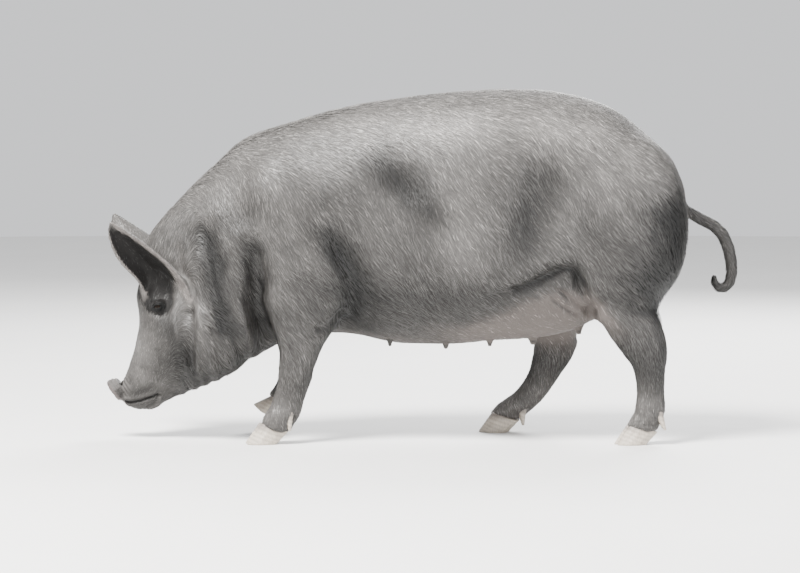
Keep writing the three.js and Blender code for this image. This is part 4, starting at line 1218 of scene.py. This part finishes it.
def lie_of(points, normals):
    """The way the coat lies at each place, along the surface."""
    side = np.sign(points[:, 1])
    up = smooth(normals[:, 2], 0.15, 0.95)
    down = smooth(normals[:, 2], -0.35, -0.9)
    back = smooth(normals[:, 0], 0.35, 0.9)
    x = 0.58 + 0.35 * up + 0.30 * down - 0.45 * back
    y = side * (0.40 * up - 0.20 * down)
    z = -0.82 * (1 - 0.75 * up)
    front_of_face = smooth(np.abs(normals[:, 1]), 0.9, 0.2)
    face = np.tile(-HEAD_DOWN, (len(points), 1))
    face[:, 1] += 0.35 * side * front_of_face
    head = head_share(points)[:, None]
    way = mixed(np.stack([x, y, z], axis=1), face, head)
    for leg in LEGS:
        way = mixed(way, np.array([0.12, 0.0, -1.0]), leg_share(points, leg)[:, None])
    way = mixed(way, unit(np.array([-0.62, 0.0, 0.78])), ear_share(points)[:, None])
    way = mixed(way, tail_way(points), tail_share(points)[:, None])
    way = unit(way - normals * np.sum(way * normals, axis=1, keepdims=True))
    swirl = 0.30 * noise(points, 0.10, 41) + 0.16 * noise(points, 0.035, 42)
    return turned(way, normals, swirl * (1 - 0.5 * head[:, 0]))


def turned(vectors, axes, angles):
    """Vectors that are square to their axes, turned about them."""
    cos, sin = np.cos(angles)[:, None], np.sin(angles)[:, None]
    return vectors * cos + np.cross(axes, vectors) * sin


def tail_way(points):
    """The direction along the tail nearest to each point."""
    line = placed("tail", TAIL_LINE)
    best = np.full(len(points), 1e9)
    way = np.tile(np.array([0.0, 0.0, -1.0]), (len(points), 1))
    for a, b in zip(line[:-1], line[1:]):
        away = beside(points, a, b)[1]
        closer = away < best
        best[closer] = away[closer]
        way[closer] = unit(np.array([b[0] - a[0], 0.0, b[1] - a[1]]))
    return way


def body_tufts(points, normals):
    """The tufts of the body, longer on the mane, throat and rear of the hams."""
    length, width, lift, number = (np.full(len(points), value) for value in BODY_TUFT)
    off_head = 1 - head_share(points)
    front = box("trunk")[0][0]
    x = points[:, 0] - front
    mane = smooth(normals[:, 2], 0.55, 0.95) * smooth(x, 0.45, 0.05) * off_head
    mane = mane * smooth(np.abs(points[:, 1]), 0.06, 0.02)
    rear = from_line(points, placed("trunk", HAM_EDGE))
    fringe = smooth(rear, 0.06, 0.02) * smooth(normals[:, 0], 0.1, 0.6)
    throat = smooth(normals[:, 2], -0.3, -0.8) * smooth(x, 0.02, -0.06) * off_head
    udder = udder_share(points, normals)
    length += 0.018 * mane + 0.012 * fringe + 0.010 * throat
    lift += 0.0045 * mane + 0.006 * fringe + 0.003 * throat
    return length * (1 - 0.45 * udder), width, lift * (1 - 0.4 * udder), number * (1 - 0.80 * udder)


def tufted_share(points):
    """0 where no tuft stands, on disc, teats, eyes and lips, and 1 elsewhere."""
    share = (1 - snout_share(points)) * (1 - teat_share(points))
    share *= smooth(np.linalg.norm(points - snout_centre(), axis=1), 0.046, 0.075)
    for side in SIDES:
        middle, _, along, up = eye_axes(side)
        local = points - middle
        away = np.hypot((local @ along) / 0.0150, (local @ up) / 0.0105)
        share *= np.where(np.linalg.norm(local, axis=1) < 0.03, smooth(away, 0.75, 1.15), 1.0)
    bottom = box("head")[0][2]
    lips = head_share(points) * smooth(points[:, 2], bottom + 0.08, bottom + 0.06)
    return share * (1 - lips * smooth(from_line(points, placed("head", MOUTH)), 0.005, 0.002))


def coat_shape(points, normals):
    """Length, width and lift of the tufts, and how many stand on a square metre."""

    def over(shape, tuft, share):
        return [mixed(one, other, share) for one, other in zip(shape, tuft)]

    low, high = box("head")
    down_face = smooth(points[:, 2], high[2] - 0.10, low[2] + 0.10)
    face = (0.022 - 0.012 * down_face, 0.0012 - 0.0003 * down_face, 0.0012 - 0.0004 * down_face, 60000)
    shape = over(body_tufts(points, normals), face, head_share(points))
    for leg in LEGS:
        z = points[:, 2] - box(f"leg_{leg}")[0][2]
        shape = over(shape, LOWER_LEG_TUFT, leg_share(points, leg) * smooth(z, 0.24, 0.10))
    length, width, lift, number = over(shape, EAR_TUFT, ear_share(points))
    number = number * (1 - 0.90 * hollow_share(points, normals))
    low, high = box("tail")
    tail = tail_share(points)
    tassel = tail * smooth(points[:, 2], low[2] + 0.07, low[2])
    tassel = tassel * smooth(points[:, 0], high[0] - 0.02, high[0] - 0.045)
    tail_tuft = (0.017 + 0.016 * tassel, 0.0013, 0.0014 + 0.003 * tassel, 60000)
    length, width, lift, number = over((length, width, lift, number), tail_tuft, tail)
    return length, width, lift, np.maximum(number * tufted_share(points), 0.0)


def morton(points):
    """Cells in an order that keeps near ones together."""
    low = points.min(axis=0)
    cells = ((points - low) / 0.012).astype(np.int64)
    code = np.zeros(len(points), np.int64)
    for bit in range(8):
        for axis in range(3):
            code |= ((cells[:, axis] >> bit) & 1) << (3 * bit + axis)
    return code


class Skin:
    """The finished skin as arrays, with a tree to find the nearest place on it."""

    def __init__(self, made):
        mesh = made.data
        self.points = points_of(mesh)
        self.normals = normals_of(mesh)
        self.triangles = triangles_of(mesh)
        corners = np.empty(len(mesh.loop_triangles) * 3, np.int32)
        mesh.loop_triangles.foreach_get("loops", corners)
        self.corners = corners.reshape(-1, 3)
        uv = np.empty(len(mesh.loops) * 2, np.float32)
        mesh.uv_layers["OFBake"].data.foreach_get("uv", uv)
        self.uv = uv.reshape(-1, 2)
        a, b, c = (self.points[self.triangles[:, i]] for i in range(3))
        self.area = np.linalg.norm(np.cross(b - a, c - a), axis=1) / 2
        self.middle = (a + b + c) / 3
        self.tree = BVHTree.FromPolygons(
            [Vector(p) for p in self.points], [tuple(t) for t in self.triangles.tolist()]
        )
        self.face_normal = unit(np.cross(b - a, c - a))

    def settled(self, places):
        """The nearest places on the skin, with the smooth normals there."""
        spots = np.empty_like(places)
        faces = np.empty(len(places), np.int64)
        find = self.tree.find_nearest
        for i, place in enumerate(places.tolist()):
            spot_found, _, face, _ = find(place)
            spots[i] = spot_found
            faces[i] = face
        corners = self.triangles[faces]
        weights = 1.0 / (np.linalg.norm(self.points[corners] - spots[:, None, :], axis=2) + 1e-4)
        normals = np.sum(self.normals[corners] * weights[:, :, None], axis=1)
        return spots, unit(normals)


def scattered(skin, share, seed):
    """Roots spread over the skin by the wanted number on a square metre."""
    rng = np.random.default_rng(seed)
    weight = skin.area * share
    order = np.argsort(morton(skin.middle), kind="stable")
    running = np.cumsum(weight[order])
    count = int(running[-1])
    if count == 0:
        return np.empty((0, 3)), np.empty((0, 3)), np.empty((0, 2))
    at = (np.arange(count) + rng.random(count)) * running[-1] / count
    faces = order[np.searchsorted(running, at)]
    r1, r2 = np.sqrt(rng.random(count)), rng.random(count)
    bary = np.stack([1 - r1, r1 * (1 - r2), r1 * r2], axis=1)
    corners = skin.triangles[faces]
    places = np.einsum("nij,ni->nj", skin.points[corners], bary)
    normals = unit(np.einsum("nij,ni->nj", skin.normals[corners], bary))
    uv = np.einsum("nij,ni->nj", skin.uv[skin.corners[faces]], bary)
    return places, normals, uv


def tuft_paths(skin, roots, normals, shape, levels, rng):
    """The middle line of each tuft over the skin, as places, upward and forward ways by
    level, with the width of each tuft."""
    length, width, lift = shape
    count = len(roots)
    length = length * rng.uniform(0.68, 1.28, count)
    width = width * rng.uniform(0.75, 1.30, count)
    lift = lift * rng.uniform(0.45, 1.35, count)
    way = turned(lie_of(roots, normals), normals, rng.normal(0.0, 0.13, count))
    bend = rng.normal(0.0, 0.10, count)
    path, ups, ways = [roots - normals * 0.0006], [normals], [way]
    place, normal = roots, normals
    for before, level in zip(levels[:-1], levels[1:]):
        place, normal = skin.settled(place + way * ((level - before) * length)[:, None])
        way = unit(way - normal * np.sum(way * normal, axis=1, keepdims=True))
        way = turned(way, normal, bend * 0.5)
        rise = lift * (1.0 - (1.0 - level) ** 1.8)
        path.append(place + normal * rise[:, None])
        ups.append(normal)
        ways.append(way)
    return path, ups, ways, width


def tuft_points(path, ups, ways, width, levels):
    """Three points on each ring of a tuft and one at its tip, and the way each faces."""
    taper = np.interp(levels, [0.0, 0.3, 0.75, 1.0], [0.75, 1.0, 0.62, 0.0])
    rings = len(levels) - 1
    points = np.empty((len(width), rings * 3 + 1, 3))
    facing = np.empty_like(points)
    for n in range(rings):
        across = np.cross(ways[n], ups[n])
        half = (width * taper[n] / 2)[:, None]
        points[:, n * 3] = path[n] + across * half
        points[:, n * 3 + 1] = path[n] - across * half
        points[:, n * 3 + 2] = path[n] + ups[n] * half * 0.7
        facing[:, n * 3] = unit(ups[n] + 0.40 * across)
        facing[:, n * 3 + 1] = unit(ups[n] - 0.40 * across)
        facing[:, n * 3 + 2] = ups[n]
    points[:, -1] = path[-1]
    facing[:, -1] = unit(ups[-1] + 0.25 * ways[-1])
    return points, facing


def tuft_faces(rings):
    """The triangles of one closed tuft: its root, its sides and its tip."""
    faces = [(2, 1, 0)]
    for a in range(0, (rings - 1) * 3, 3):
        for i in range(3):
            j = (i + 1) % 3
            faces += [(a + 3 + j, a + 3 + i, a + i), (a + j, a + 3 + j, a + i)]
    last = (rings - 1) * 3
    faces += [(last + (i + 1) % 3, last + 3, last + i) for i in range(3)]
    return np.array(faces)


def tuft_colours(roots, normals, levels, rng):
    """The skin's colour with its painted light and shade, a tone for each tuft and a painted highlight on
    some, dark at the root and pale at the tip.
    """
    count = len(roots)
    tone = np.exp(rng.normal(0.0, TONE_SPREAD, count))
    # painted highlights on some tufts
    tone *= np.where(rng.random(count) < PAINTED_SHEEN_SHARE, rng.uniform(*PAINTED_SHEEN, count), 1.0)
    tone = np.clip(tone, 0.3, 3.0) ** (1 - 0.8 * hollow_share(roots, normals))
    along = np.repeat(np.interp(levels[:-1], [0, 0.3, 1.0], [0.60, 0.95, 1.15]), 3)
    along = np.append(along, 1.25)
    colours = markings(roots, normals)[:, None, :] * tone[:, None, None] * along[None, :, None]
    return np.clip(colours, 0.003, 0.95)


def tuft_places(uv, levels):
    """A small patch of the map for each tuft, at its root's place."""
    rings = len(levels) - 1
    flat = np.array([[0.0, 0.0], [1.0, 0.0], [0.5, 1.0]])
    spread = np.concatenate([flat * (1 - 0.8 * n / rings) for n in range(rings)] + [[[0.5, 0.5]]])
    spread[:, 1] = np.concatenate([np.repeat(levels[:-1], 3), [1.0]])
    return uv[:, None, :] + (spread[None, :, :] - 0.5) * PATCH


def tuft_arrays(skin, roots, normals, uv, shape, levels, rng):
    """Points, colours, map places and facings of the tufts, by tuft."""
    points, facing = tuft_points(*tuft_paths(skin, roots, normals, shape, levels, rng), levels)
    return points, tuft_colours(roots, normals, levels, rng), tuft_places(uv, levels), facing


def coat_piece(name, faces, points, colours, places, facing):
    """One mesh of tufts that all have the same faces, from arrays by tuft."""
    count, per = points.shape[:2]
    triangles = (faces[None] + (np.arange(count) * per)[:, None, None]).reshape(-1, 3)
    mesh = triangle_mesh(name, points.reshape(-1, 3), triangles)
    shade_smooth(mesh)
    mesh.normals_split_custom_set_from_vertices(facing.reshape(-1, 3).astype(np.float32))
    paint(mesh, colours.reshape(-1, 3))
    layer = mesh.uv_layers.new(name="OFBake")
    corners = places.reshape(-1, 2)[triangles.ravel()]
    layer.data.foreach_set("uv", corners.astype(np.float32).ravel())
    mesh.materials.append(coat_material())
    made = link(name, mesh)
    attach(made, "root")


def build_coat(settings):
    skin = Skin(bpy.data.objects["skin"])
    rng = np.random.default_rng(7)
    shape = coat_shape(skin.points, skin.normals)
    length, number = (values[skin.triangles].mean(axis=1) for values in (shape[0], shape[3]))
    scale = settings.coat_density * 1.0
    for name, levels, chosen in (
        ("coat_long", LONG, length > LONG_FROM),
        ("coat_body", SHORT, (length > SHORT_UP_TO) & (length <= LONG_FROM)),
        ("coat_short", SHORT, length <= SHORT_UP_TO),
    ):
        roots, normals, uv = scattered(skin, number * chosen * scale, 11)
        shape = coat_shape(roots, normals)[:3]
        arrays = tuft_arrays(skin, roots, normals, uv, shape, levels, rng)
        split_pieces(name, roots, arrays, tuft_faces(len(levels) - 1))


def split_pieces(name, roots, arrays, faces):
    """The tufts in pieces of neighbouring ones, each under the limit of triangles."""
    pieces = max(1, math.ceil(len(roots) * len(faces) / MOST_TRIANGLES))
    order = np.argsort(roots[:, 0], kind="stable")
    for n, members in enumerate(np.array_split(order, pieces)):
        members = np.sort(members)
        coat_piece(f"{name}_{n + 1}", faces, *(values[members] for values in arrays))


# ---------- eyes ----------


def build_eyes():
    for side in SIDES:
        mesh = eyeball_mesh(side)
        mesh.materials.append(eye_material())
        made = link(f"eyeball_{side}", mesh)
        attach(made, "root")
        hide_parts(f"eye_{side}")


def eyeball_mesh(side):
    """A ball with a bulging cornea, in rings from the pupil to the back."""
    middle, out, along, up = eye_axes(side)
    rows, around = 28, 40
    streak = np.random.default_rng(3).random(around)
    points, faces, colours = [], [], []
    for r in range(rows + 1):
        polar = math.pi * r / rows
        radius = EYE_RADIUS * (1.0 + 0.050 * float(smooth(polar, 0.62, 0.20)))
        for i in range(around):
            turn = 2 * math.pi * i / around
            ring = math.sin(polar) * radius
            place = middle + out * math.cos(polar) * radius
            points.append(place + along * ring * math.cos(turn) + up * ring * math.sin(turn))
            colours.append(eye_colour(polar, streak[i]))
    for r in range(rows):
        for i in range(around):
            j = (i + 1) % around
            a, b = r * around, (r + 1) * around
            if r == 0:
                faces.append((a + i, b + i, b + j))
            elif r == rows - 1:
                faces.append((a + i, b + i, a + j))
            else:
                faces.append((a + i, b + i, b + j, a + j))
    mesh = mesh_of(f"eyeball_{side}", points, faces)
    paint(mesh, np.array(colours))
    work = bmesh.new()
    work.from_mesh(mesh)
    bmesh.ops.remove_doubles(work, verts=work.verts, dist=1e-6)
    bmesh.ops.recalc_face_normals(work, faces=work.faces)
    work.to_mesh(mesh)
    work.free()
    shade_smooth(mesh)
    return mesh


def eye_colour(polar, streak):
    """Pupil, brown iris with streaks, dark ring and dusky white, by angle from the axis."""
    pupil, iris, ring = 0.20, 0.58, 0.68
    if polar < pupil:
        return (0.002, 0.002, 0.002)
    if polar < iris:
        t = (polar - pupil) / (iris - pupil)
        tone = (0.55 + 0.6 * streak) * (1.0 - 0.75 * t**4)
        return tuple(colour_of("iris") * tone)
    if polar < ring:
        return (0.004, 0.0035, 0.003)
    return (0.010, 0.008, 0.007)


# ---------- feet ----------


def build_feet():
    for leg in LEGS:
        for which in ("outer", "inner"):
            horn_piece(f"claw_{leg}_{which}", f"hoof_{leg}_{which}", CLAW_CELL)
            horn_piece(f"dewclaw_{leg}_{which}", f"dew_{leg}_{which}", DEWCLAW_CELL)


def horn_piece(node, name, voxel):
    """A claw from its solid, grown up into the skin, smoothed and ringed."""
    made = link(name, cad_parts[node].data.copy())
    mesh = made.data
    points = points_of(mesh)
    low, high = points.min(axis=0), points.max(axis=0)
    size = high - low
    claw = node.startswith("claw")
    top = smooth(points[:, 2], low[2] + 0.35 * size[2], low[2] + 0.5 * size[2])
    points[:, 2] += (0.007 if claw else 0.006) * top
    points[:, 0] -= (0.0 if claw else 0.010) * top
    put_points(mesh, points)
    mesh = applied(made, ("REMESH", {"mode": "VOXEL", "voxel_size": voxel}))
    points = points_of(mesh)
    table, valence = neighbour_table(mesh)
    smoothed = evened(points, table, valence, np.full(len(points), 0.5), 8 if claw else 6)
    if claw and low[2] < 0.01:
        smoothed = on_floor(points, smoothed)
    put_points(mesh, smoothed)
    normals = normals_of(mesh)
    slanted = smoothed[:, 2] + 0.35 * smoothed[:, 0]
    rings = ripple(slanted, HORN_RINGS, 1.8 * noise(smoothed, 0.02, 51))
    wall = smooth(smoothed[:, 2] - low[2], 0.003, 0.008) * smooth(np.abs(normals[:, 2]), 0.9, 0.5)
    smoothed = smoothed + normals * (0.00018 * rings * wall)[:, None]
    put_points(mesh, smoothed)
    shade_smooth(mesh)
    tone = 1.0 + 0.13 * rings * wall + 0.10 * noise(smoothed, 0.011, 52)
    rise = smooth((smoothed[:, 2] - low[2]) / size[2], 0.55, 1.05)[:, None]
    colour = mixed(colour_of("horn"), colour_of("horn_top"), rise)
    paint(mesh, np.clip(colour * tone[:, None], 0.01, 0.9))
    mesh.materials.clear()
    mesh.materials.append(horn_material())
    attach(made, "root")
    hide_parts(node)


def on_floor(points, smoothed):
    """The sole kept flat and at the floor."""
    sole = smooth(points[:, 2], 0.006, 0.0015)
    height = np.maximum(smoothed[:, 2], 0.0)
    height = mixed(height, np.minimum(points[:, 2], height), sole)
    flat = smoothed.copy()
    flat[:, 2] = np.maximum(height - 0.0004 * sole, 0.0)
    return flat


# ---------- materials ----------


def node_tree(name):
    made = bpy.data.materials.new(name)
    made.use_nodes = True
    tree = made.node_tree
    shader = next(n for n in tree.nodes if n.type == "BSDF_PRINCIPLED")
    return made, tree, shader


def add(tree, kind, **settings):
    node = tree.nodes.new(kind)
    for key, value in settings.items():
        if hasattr(node, key):
            setattr(node, key, value)
        else:
            node.inputs[key].default_value = value
    return node


def grain(tree, scale, detail=4.0, roughness=0.55, stretch=(1.0, 1.0, 1.0)):
    """A noise texture in the object's own coordinates."""
    place = add(tree, "ShaderNodeTexCoord")
    mapping = add(tree, "ShaderNodeMapping")
    mapping.inputs["Scale"].default_value = stretch
    texture = add(tree, "ShaderNodeTexNoise", Scale=scale, Detail=detail, Roughness=roughness)
    tree.links.new(place.outputs["Object"], mapping.inputs["Vector"])
    tree.links.new(mapping.outputs["Vector"], texture.inputs["Vector"])
    return texture.outputs["Fac"]


def mapped(tree, value, low, high, start=0.3, end=0.7):
    node = add(tree, "ShaderNodeMapRange")
    node.inputs["From Min"].default_value = start
    node.inputs["From Max"].default_value = end
    node.inputs["To Min"].default_value = low
    node.inputs["To Max"].default_value = high
    tree.links.new(value, node.inputs["Value"])
    return node.outputs["Result"]


def painted(tree, value):
    """The stored colour times a varying value."""
    colour = add(tree, "ShaderNodeAttribute", attribute_name="markings")
    mix = add(tree, "ShaderNodeVectorMath", operation="SCALE")
    tree.links.new(colour.outputs["Color"], mix.inputs[0])
    tree.links.new(value, mix.inputs["Scale"])
    return mix.outputs["Vector"]


def bumped(tree, height, strength, distance):
    node = add(tree, "ShaderNodeBump", Strength=strength, Distance=distance)
    tree.links.new(height, node.inputs["Height"])
    return node.outputs["Normal"]


def once(name, make):
    return bpy.data.materials.get(name) or make(name)


def skin_material():
    def make(name):
        made, tree, shader = node_tree(name)
        fine = grain(tree, 420.0, 6.0, 0.6)
        broad = grain(tree, 38.0, 4.0, 0.5)
        pores = add(tree, "ShaderNodeTexVoronoi", Scale=330.0)
        place = add(tree, "ShaderNodeTexCoord")
        tree.links.new(place.outputs["Object"], pores.inputs["Vector"])
        tree.links.new(painted(tree, mapped(tree, fine, 0.78, 1.16)), shader.inputs["Base Color"])
        moist = add(tree, "ShaderNodeAttribute", attribute_name="moist")
        rough = mapped(tree, broad, 0.56, 0.70)
        wet = add(tree, "ShaderNodeMix", data_type="FLOAT")
        tree.links.new(moist.outputs["Fac"], wet.inputs["Factor"])
        tree.links.new(rough, wet.inputs["A"])
        wet.inputs["B"].default_value = 0.34
        tree.links.new(wet.outputs["Result"], shader.inputs["Roughness"])
        height = add(tree, "ShaderNodeMath", operation="MULTIPLY_ADD")
        tree.links.new(pores.outputs["Distance"], height.inputs[0])
        height.inputs[1].default_value = 0.7
        tree.links.new(fine, height.inputs[2])
        tree.links.new(bumped(tree, height.outputs["Value"], 0.55, 0.0012), shader.inputs["Normal"])
        shader.inputs["Specular IOR Level"].default_value = 0.15
        return made

    return once("sow_skin", make)


def coat_material():
    def make(name):
        made, tree, shader = node_tree(name)
        streak = grain(tree, 260.0, 3.0, 0.5, (1.0, 1.0, 0.5))
        tree.links.new(painted(tree, mapped(tree, streak, 0.84, 1.18)), shader.inputs["Base Color"])
        tree.links.new(mapped(tree, grain(tree, 60.0), 0.36, 0.50), shader.inputs["Roughness"])
        tree.links.new(bumped(tree, streak, 0.25, 0.0006), shader.inputs["Normal"])
        shader.inputs["Specular IOR Level"].default_value = 0.42
        return made

    return once("sow_coat", make)


def eye_material():
    def make(name):
        made, tree, shader = node_tree(name)
        veins = mapped(tree, grain(tree, 900.0), 0.8, 1.2)
        tree.links.new(painted(tree, veins), shader.inputs["Base Color"])
        tree.links.new(mapped(tree, grain(tree, 300.0), 0.06, 0.10), shader.inputs["Roughness"])
        shader.inputs["Specular IOR Level"].default_value = 0.12
        return made

    return once("sow_eye", make)


def horn_material():
    def make(name):
        made, tree, shader = node_tree(name)
        fibre = grain(tree, 500.0, 5.0, 0.6, (1.0, 1.0, 0.18))
        tree.links.new(painted(tree, mapped(tree, fibre, 0.76, 1.2)), shader.inputs["Base Color"])
        tree.links.new(mapped(tree, grain(tree, 90.0), 0.42, 0.62), shader.inputs["Roughness"])
        tree.links.new(bumped(tree, fibre, 0.5, 0.0008), shader.inputs["Normal"])
        return made

    return once("sow_horn", make)


# ---------- stage ----------


def build_stage(settings):
    scene = bpy.context.scene
    world = bpy.data.worlds.new("studio")
    scene.world = world
    world.use_nodes = True
    background = next(n for n in world.node_tree.nodes if n.type == "BACKGROUND")
    background.inputs["Color"].default_value = (0.93, 0.94, 0.96, 1.0)
    background.inputs["Strength"].default_value = settings.world_strength
    build_floor()
    lamp("key", (-2.2, -2.8, 4.8), (0.0, 0.0, 0.45), 2.2, settings.key_power, (1.0, 0.985, 0.96))
    lamp("fill", (4.2, -4.0, 2.2), (0.1, 0.0, 0.45), 3.5, settings.key_power * 0.10, (0.95, 0.97, 1.0))
    lamp("back", (1.5, 4.2, 3.6), (0.0, 0.0, 0.5), 3.0, settings.key_power * 0.40, (1.0, 1.0, 1.0))
    camera_data = bpy.data.cameras.new("camera")
    camera_data.lens = settings.lens
    camera_data.sensor_width = 36.0
    camera_data.clip_end = 200.0
    camera = link("camera", camera_data)
    camera.location = (settings.camera_x, -settings.camera_distance, settings.camera_height)
    camera.rotation_euler = (math.radians(90.0) - settings.camera_tilt, 0.0, 0.0)
    scene.camera = camera


def build_floor():
    count, radius = 128, 14.0
    turns = np.linspace(0, 2 * math.pi, count, False)
    rim = [(radius * math.cos(t), radius * math.sin(t), 0.0) for t in turns]
    faces = [(0, 1 + i, 1 + (i + 1) % count) for i in range(count)]
    mesh = mesh_of("floor", [(0.0, 0.0, 0.0), *rim], faces)
    mesh.materials.append(floor_material())
    link("floor", mesh)


def floor_material():
    material, tree, shader = node_tree("studio_floor")
    cloud = grain(tree, 1.6, 5.0)
    ramp = add(tree, "ShaderNodeValToRGB")
    ramp.color_ramp.elements[0].color = (0.74, 0.735, 0.725, 1.0)
    ramp.color_ramp.elements[1].color = (0.80, 0.797, 0.788, 1.0)
    tree.links.new(cloud, ramp.inputs["Fac"])
    tree.links.new(ramp.outputs["Color"], shader.inputs["Base Color"])
    tree.links.new(mapped(tree, grain(tree, 20.0), 0.72, 0.88), shader.inputs["Roughness"])
    tree.links.new(bumped(tree, grain(tree, 240.0), 0.12, 0.002), shader.inputs["Normal"])
    return material


def lamp(name, place, target, size, power, colour):
    data = bpy.data.lights.new(name, "AREA")
    data.shape = "DISK"
    data.size = size
    data.energy = power
    data.color = colour
    made = link(name, data)
    made.location = place
    way = Vector(target) - Vector(place)
    made.rotation_mode = "QUATERNION"
    made.rotation_quaternion = way.to_track_quat("-Z", "Y")


# ---------- settings, operators and panel ----------


class SOW_PG_skin(bpy.types.PropertyGroup):
    """How the skin is made."""

    voxel: bpy.props.FloatProperty(
        name="Cell", description="Size of the cells the skin is made from", default=0.0031, unit="LENGTH"
    )
    skin_triangles: bpy.props.IntProperty(
        name="Triangles", description="About how many triangles the skin is thinned to", default=190000
    )
    ear_thickness: bpy.props.FloatProperty(
        name="Ear thickness", description="Thickness of an ear at its middle", default=0.0080, unit="LENGTH"
    )
    eye_width: bpy.props.FloatProperty(
        name="Eye width", description="Length of the slit between the lids", default=0.0225, unit="LENGTH"
    )
    eye_height: bpy.props.FloatProperty(
        name="Eye height", description="Height of the slit between the lids", default=0.0070, unit="LENGTH"
    )


class SOW_PG_colours(bpy.types.PropertyGroup):
    """The colours of hide, horn and eyes."""

    hide: bpy.props.FloatVectorProperty(
        name="Hide", description="Skin and bristles", default=(0.056, 0.053, 0.0505), subtype="COLOR"
    )
    udder: bpy.props.FloatVectorProperty(
        name="Udder", description="Bare skin of the udder", default=(0.130, 0.112, 0.103), subtype="COLOR"
    )
    # painted highlight: the pale rims of the ears
    ear_rim: bpy.props.FloatVectorProperty(
        name="Ear rim", description="Pale edge of the ears", default=(0.15, 0.136, 0.128), subtype="COLOR"
    )
    # painted shade: the near-black of the ear's hollow and the bowl below it
    ear_hollow: bpy.props.FloatVectorProperty(
        name="Ear hollow",
        description="Inside of the ears, down to the eyes",
        default=(0.0055, 0.0050, 0.0048),
        subtype="COLOR",
    )
    snout: bpy.props.FloatVectorProperty(
        name="Snout", description="Disc of the snout", default=(0.088, 0.076, 0.073), subtype="COLOR"
    )
    iris: bpy.props.FloatVectorProperty(
        name="Iris", description="Iris of the eyes", default=(0.012, 0.0075, 0.005), subtype="COLOR"
    )
    horn: bpy.props.FloatVectorProperty(
        name="Horn", description="Lower part of the claws", default=(0.42, 0.37, 0.31), subtype="COLOR"
    )
    horn_top: bpy.props.FloatVectorProperty(
        name="Horn top", description="Top of the claws", default=(0.19, 0.165, 0.145), subtype="COLOR"
    )


class SOW_PG_coat(bpy.types.PropertyGroup):
    """How thick the coat is."""

    coat_density: bpy.props.FloatProperty(
        name="Density", description="Share of the usual number of tufts", default=1.0, subtype="FACTOR"
    )


class SOW_PG_stage(bpy.types.PropertyGroup):
    """Camera and light."""

    lens: bpy.props.FloatProperty(
        name="Lens", description="Focal length of the camera in millimetres", default=123.4
    )
    camera_x: bpy.props.FloatProperty(
        name="Camera x", description="Place of the camera along the sow", default=-0.0522, unit="LENGTH"
    )
    camera_distance: bpy.props.FloatProperty(
        name="Distance", description="Distance of the camera from the midplane", default=6.8, unit="LENGTH"
    )
    camera_height: bpy.props.FloatProperty(
        name="Height", description="Height of the camera", default=0.75, unit="LENGTH"
    )
    camera_tilt: bpy.props.FloatProperty(
        name="Tilt", description="How far the camera looks down", default=math.radians(3.14), subtype="ANGLE"
    )
    key_power: bpy.props.FloatProperty(
        name="Key light", description="Power of the main light in watts", default=1500.0
    )
    world_strength: bpy.props.FloatProperty(
        name="Sky", description="Strength of the light all round", default=1.05
    )


class SOW_OT_skin(bpy.types.Operator):
    """Builds the one skin over all the flesh of the sow"""

    bl_idname = "sow.skin"
    bl_label = "Skin"

    def execute(self, context):
        build_skin(context.scene.sow_skin)
        return {"FINISHED"}


class SOW_OT_coat(bpy.types.Operator):
    """Grows the tufts of the coat on the skin"""

    bl_idname = "sow.coat"
    bl_label = "Coat"

    def execute(self, context):
        if "skin" not in bpy.data.objects:
            raise RuntimeError("build the skin before the coat")
        build_coat(context.scene.sow_coat)
        return {"FINISHED"}


class SOW_OT_eyes(bpy.types.Operator):
    """Builds both eyeballs"""

    bl_idname = "sow.eyes"
    bl_label = "Eyes"

    def execute(self, context):
        build_eyes()
        return {"FINISHED"}


class SOW_OT_feet(bpy.types.Operator):
    """Builds the claws and dewclaws of all four feet"""

    bl_idname = "sow.feet"
    bl_label = "Feet"

    def execute(self, context):
        build_feet()
        return {"FINISHED"}


class SOW_OT_stage(bpy.types.Operator):
    """Sets up the floor, the lights and the camera"""

    bl_idname = "sow.stage"
    bl_label = "Stage"

    def execute(self, context):
        build_stage(context.scene.sow_stage)
        return {"FINISHED"}


class SOW_PT_panel(bpy.types.Panel):
    """Lists the steps that build the sow."""

    bl_idname = "SOW_PT_panel"
    bl_label = "Sow"
    bl_space_type = "VIEW_3D"
    bl_region_type = "UI"
    bl_category = "Sow"

    def draw(self, context):
        for step in (SOW_OT_skin, SOW_OT_coat, SOW_OT_eyes, SOW_OT_feet, SOW_OT_stage):
            self.layout.operator(step.bl_idname)


GROUPS = (
    ("sow_skin", SOW_PG_skin),
    ("sow_colours", SOW_PG_colours),
    ("sow_coat", SOW_PG_coat),
    ("sow_stage", SOW_PG_stage),
)
CLASSES = (SOW_OT_skin, SOW_OT_coat, SOW_OT_eyes, SOW_OT_feet, SOW_OT_stage, SOW_PT_panel)


def register():
    for name, group in GROUPS:
        bpy.utils.register_class(group)
        setattr(bpy.types.Scene, name, bpy.props.PointerProperty(type=group))
    for made in CLASSES:
        bpy.utils.register_class(made)


def unregister():
    for made in reversed(CLASSES):
        bpy.utils.unregister_class(made)
    for name, group in reversed(GROUPS):
        delattr(bpy.types.Scene, name)
        bpy.utils.unregister_class(group)


def main():
    register()
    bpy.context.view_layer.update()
    bpy.ops.sow.skin()
    bpy.ops.sow.eyes()
    bpy.ops.sow.feet()
    bpy.ops.sow.coat()
    bpy.ops.sow.stage()


if __name__ == "__main__":
    main()
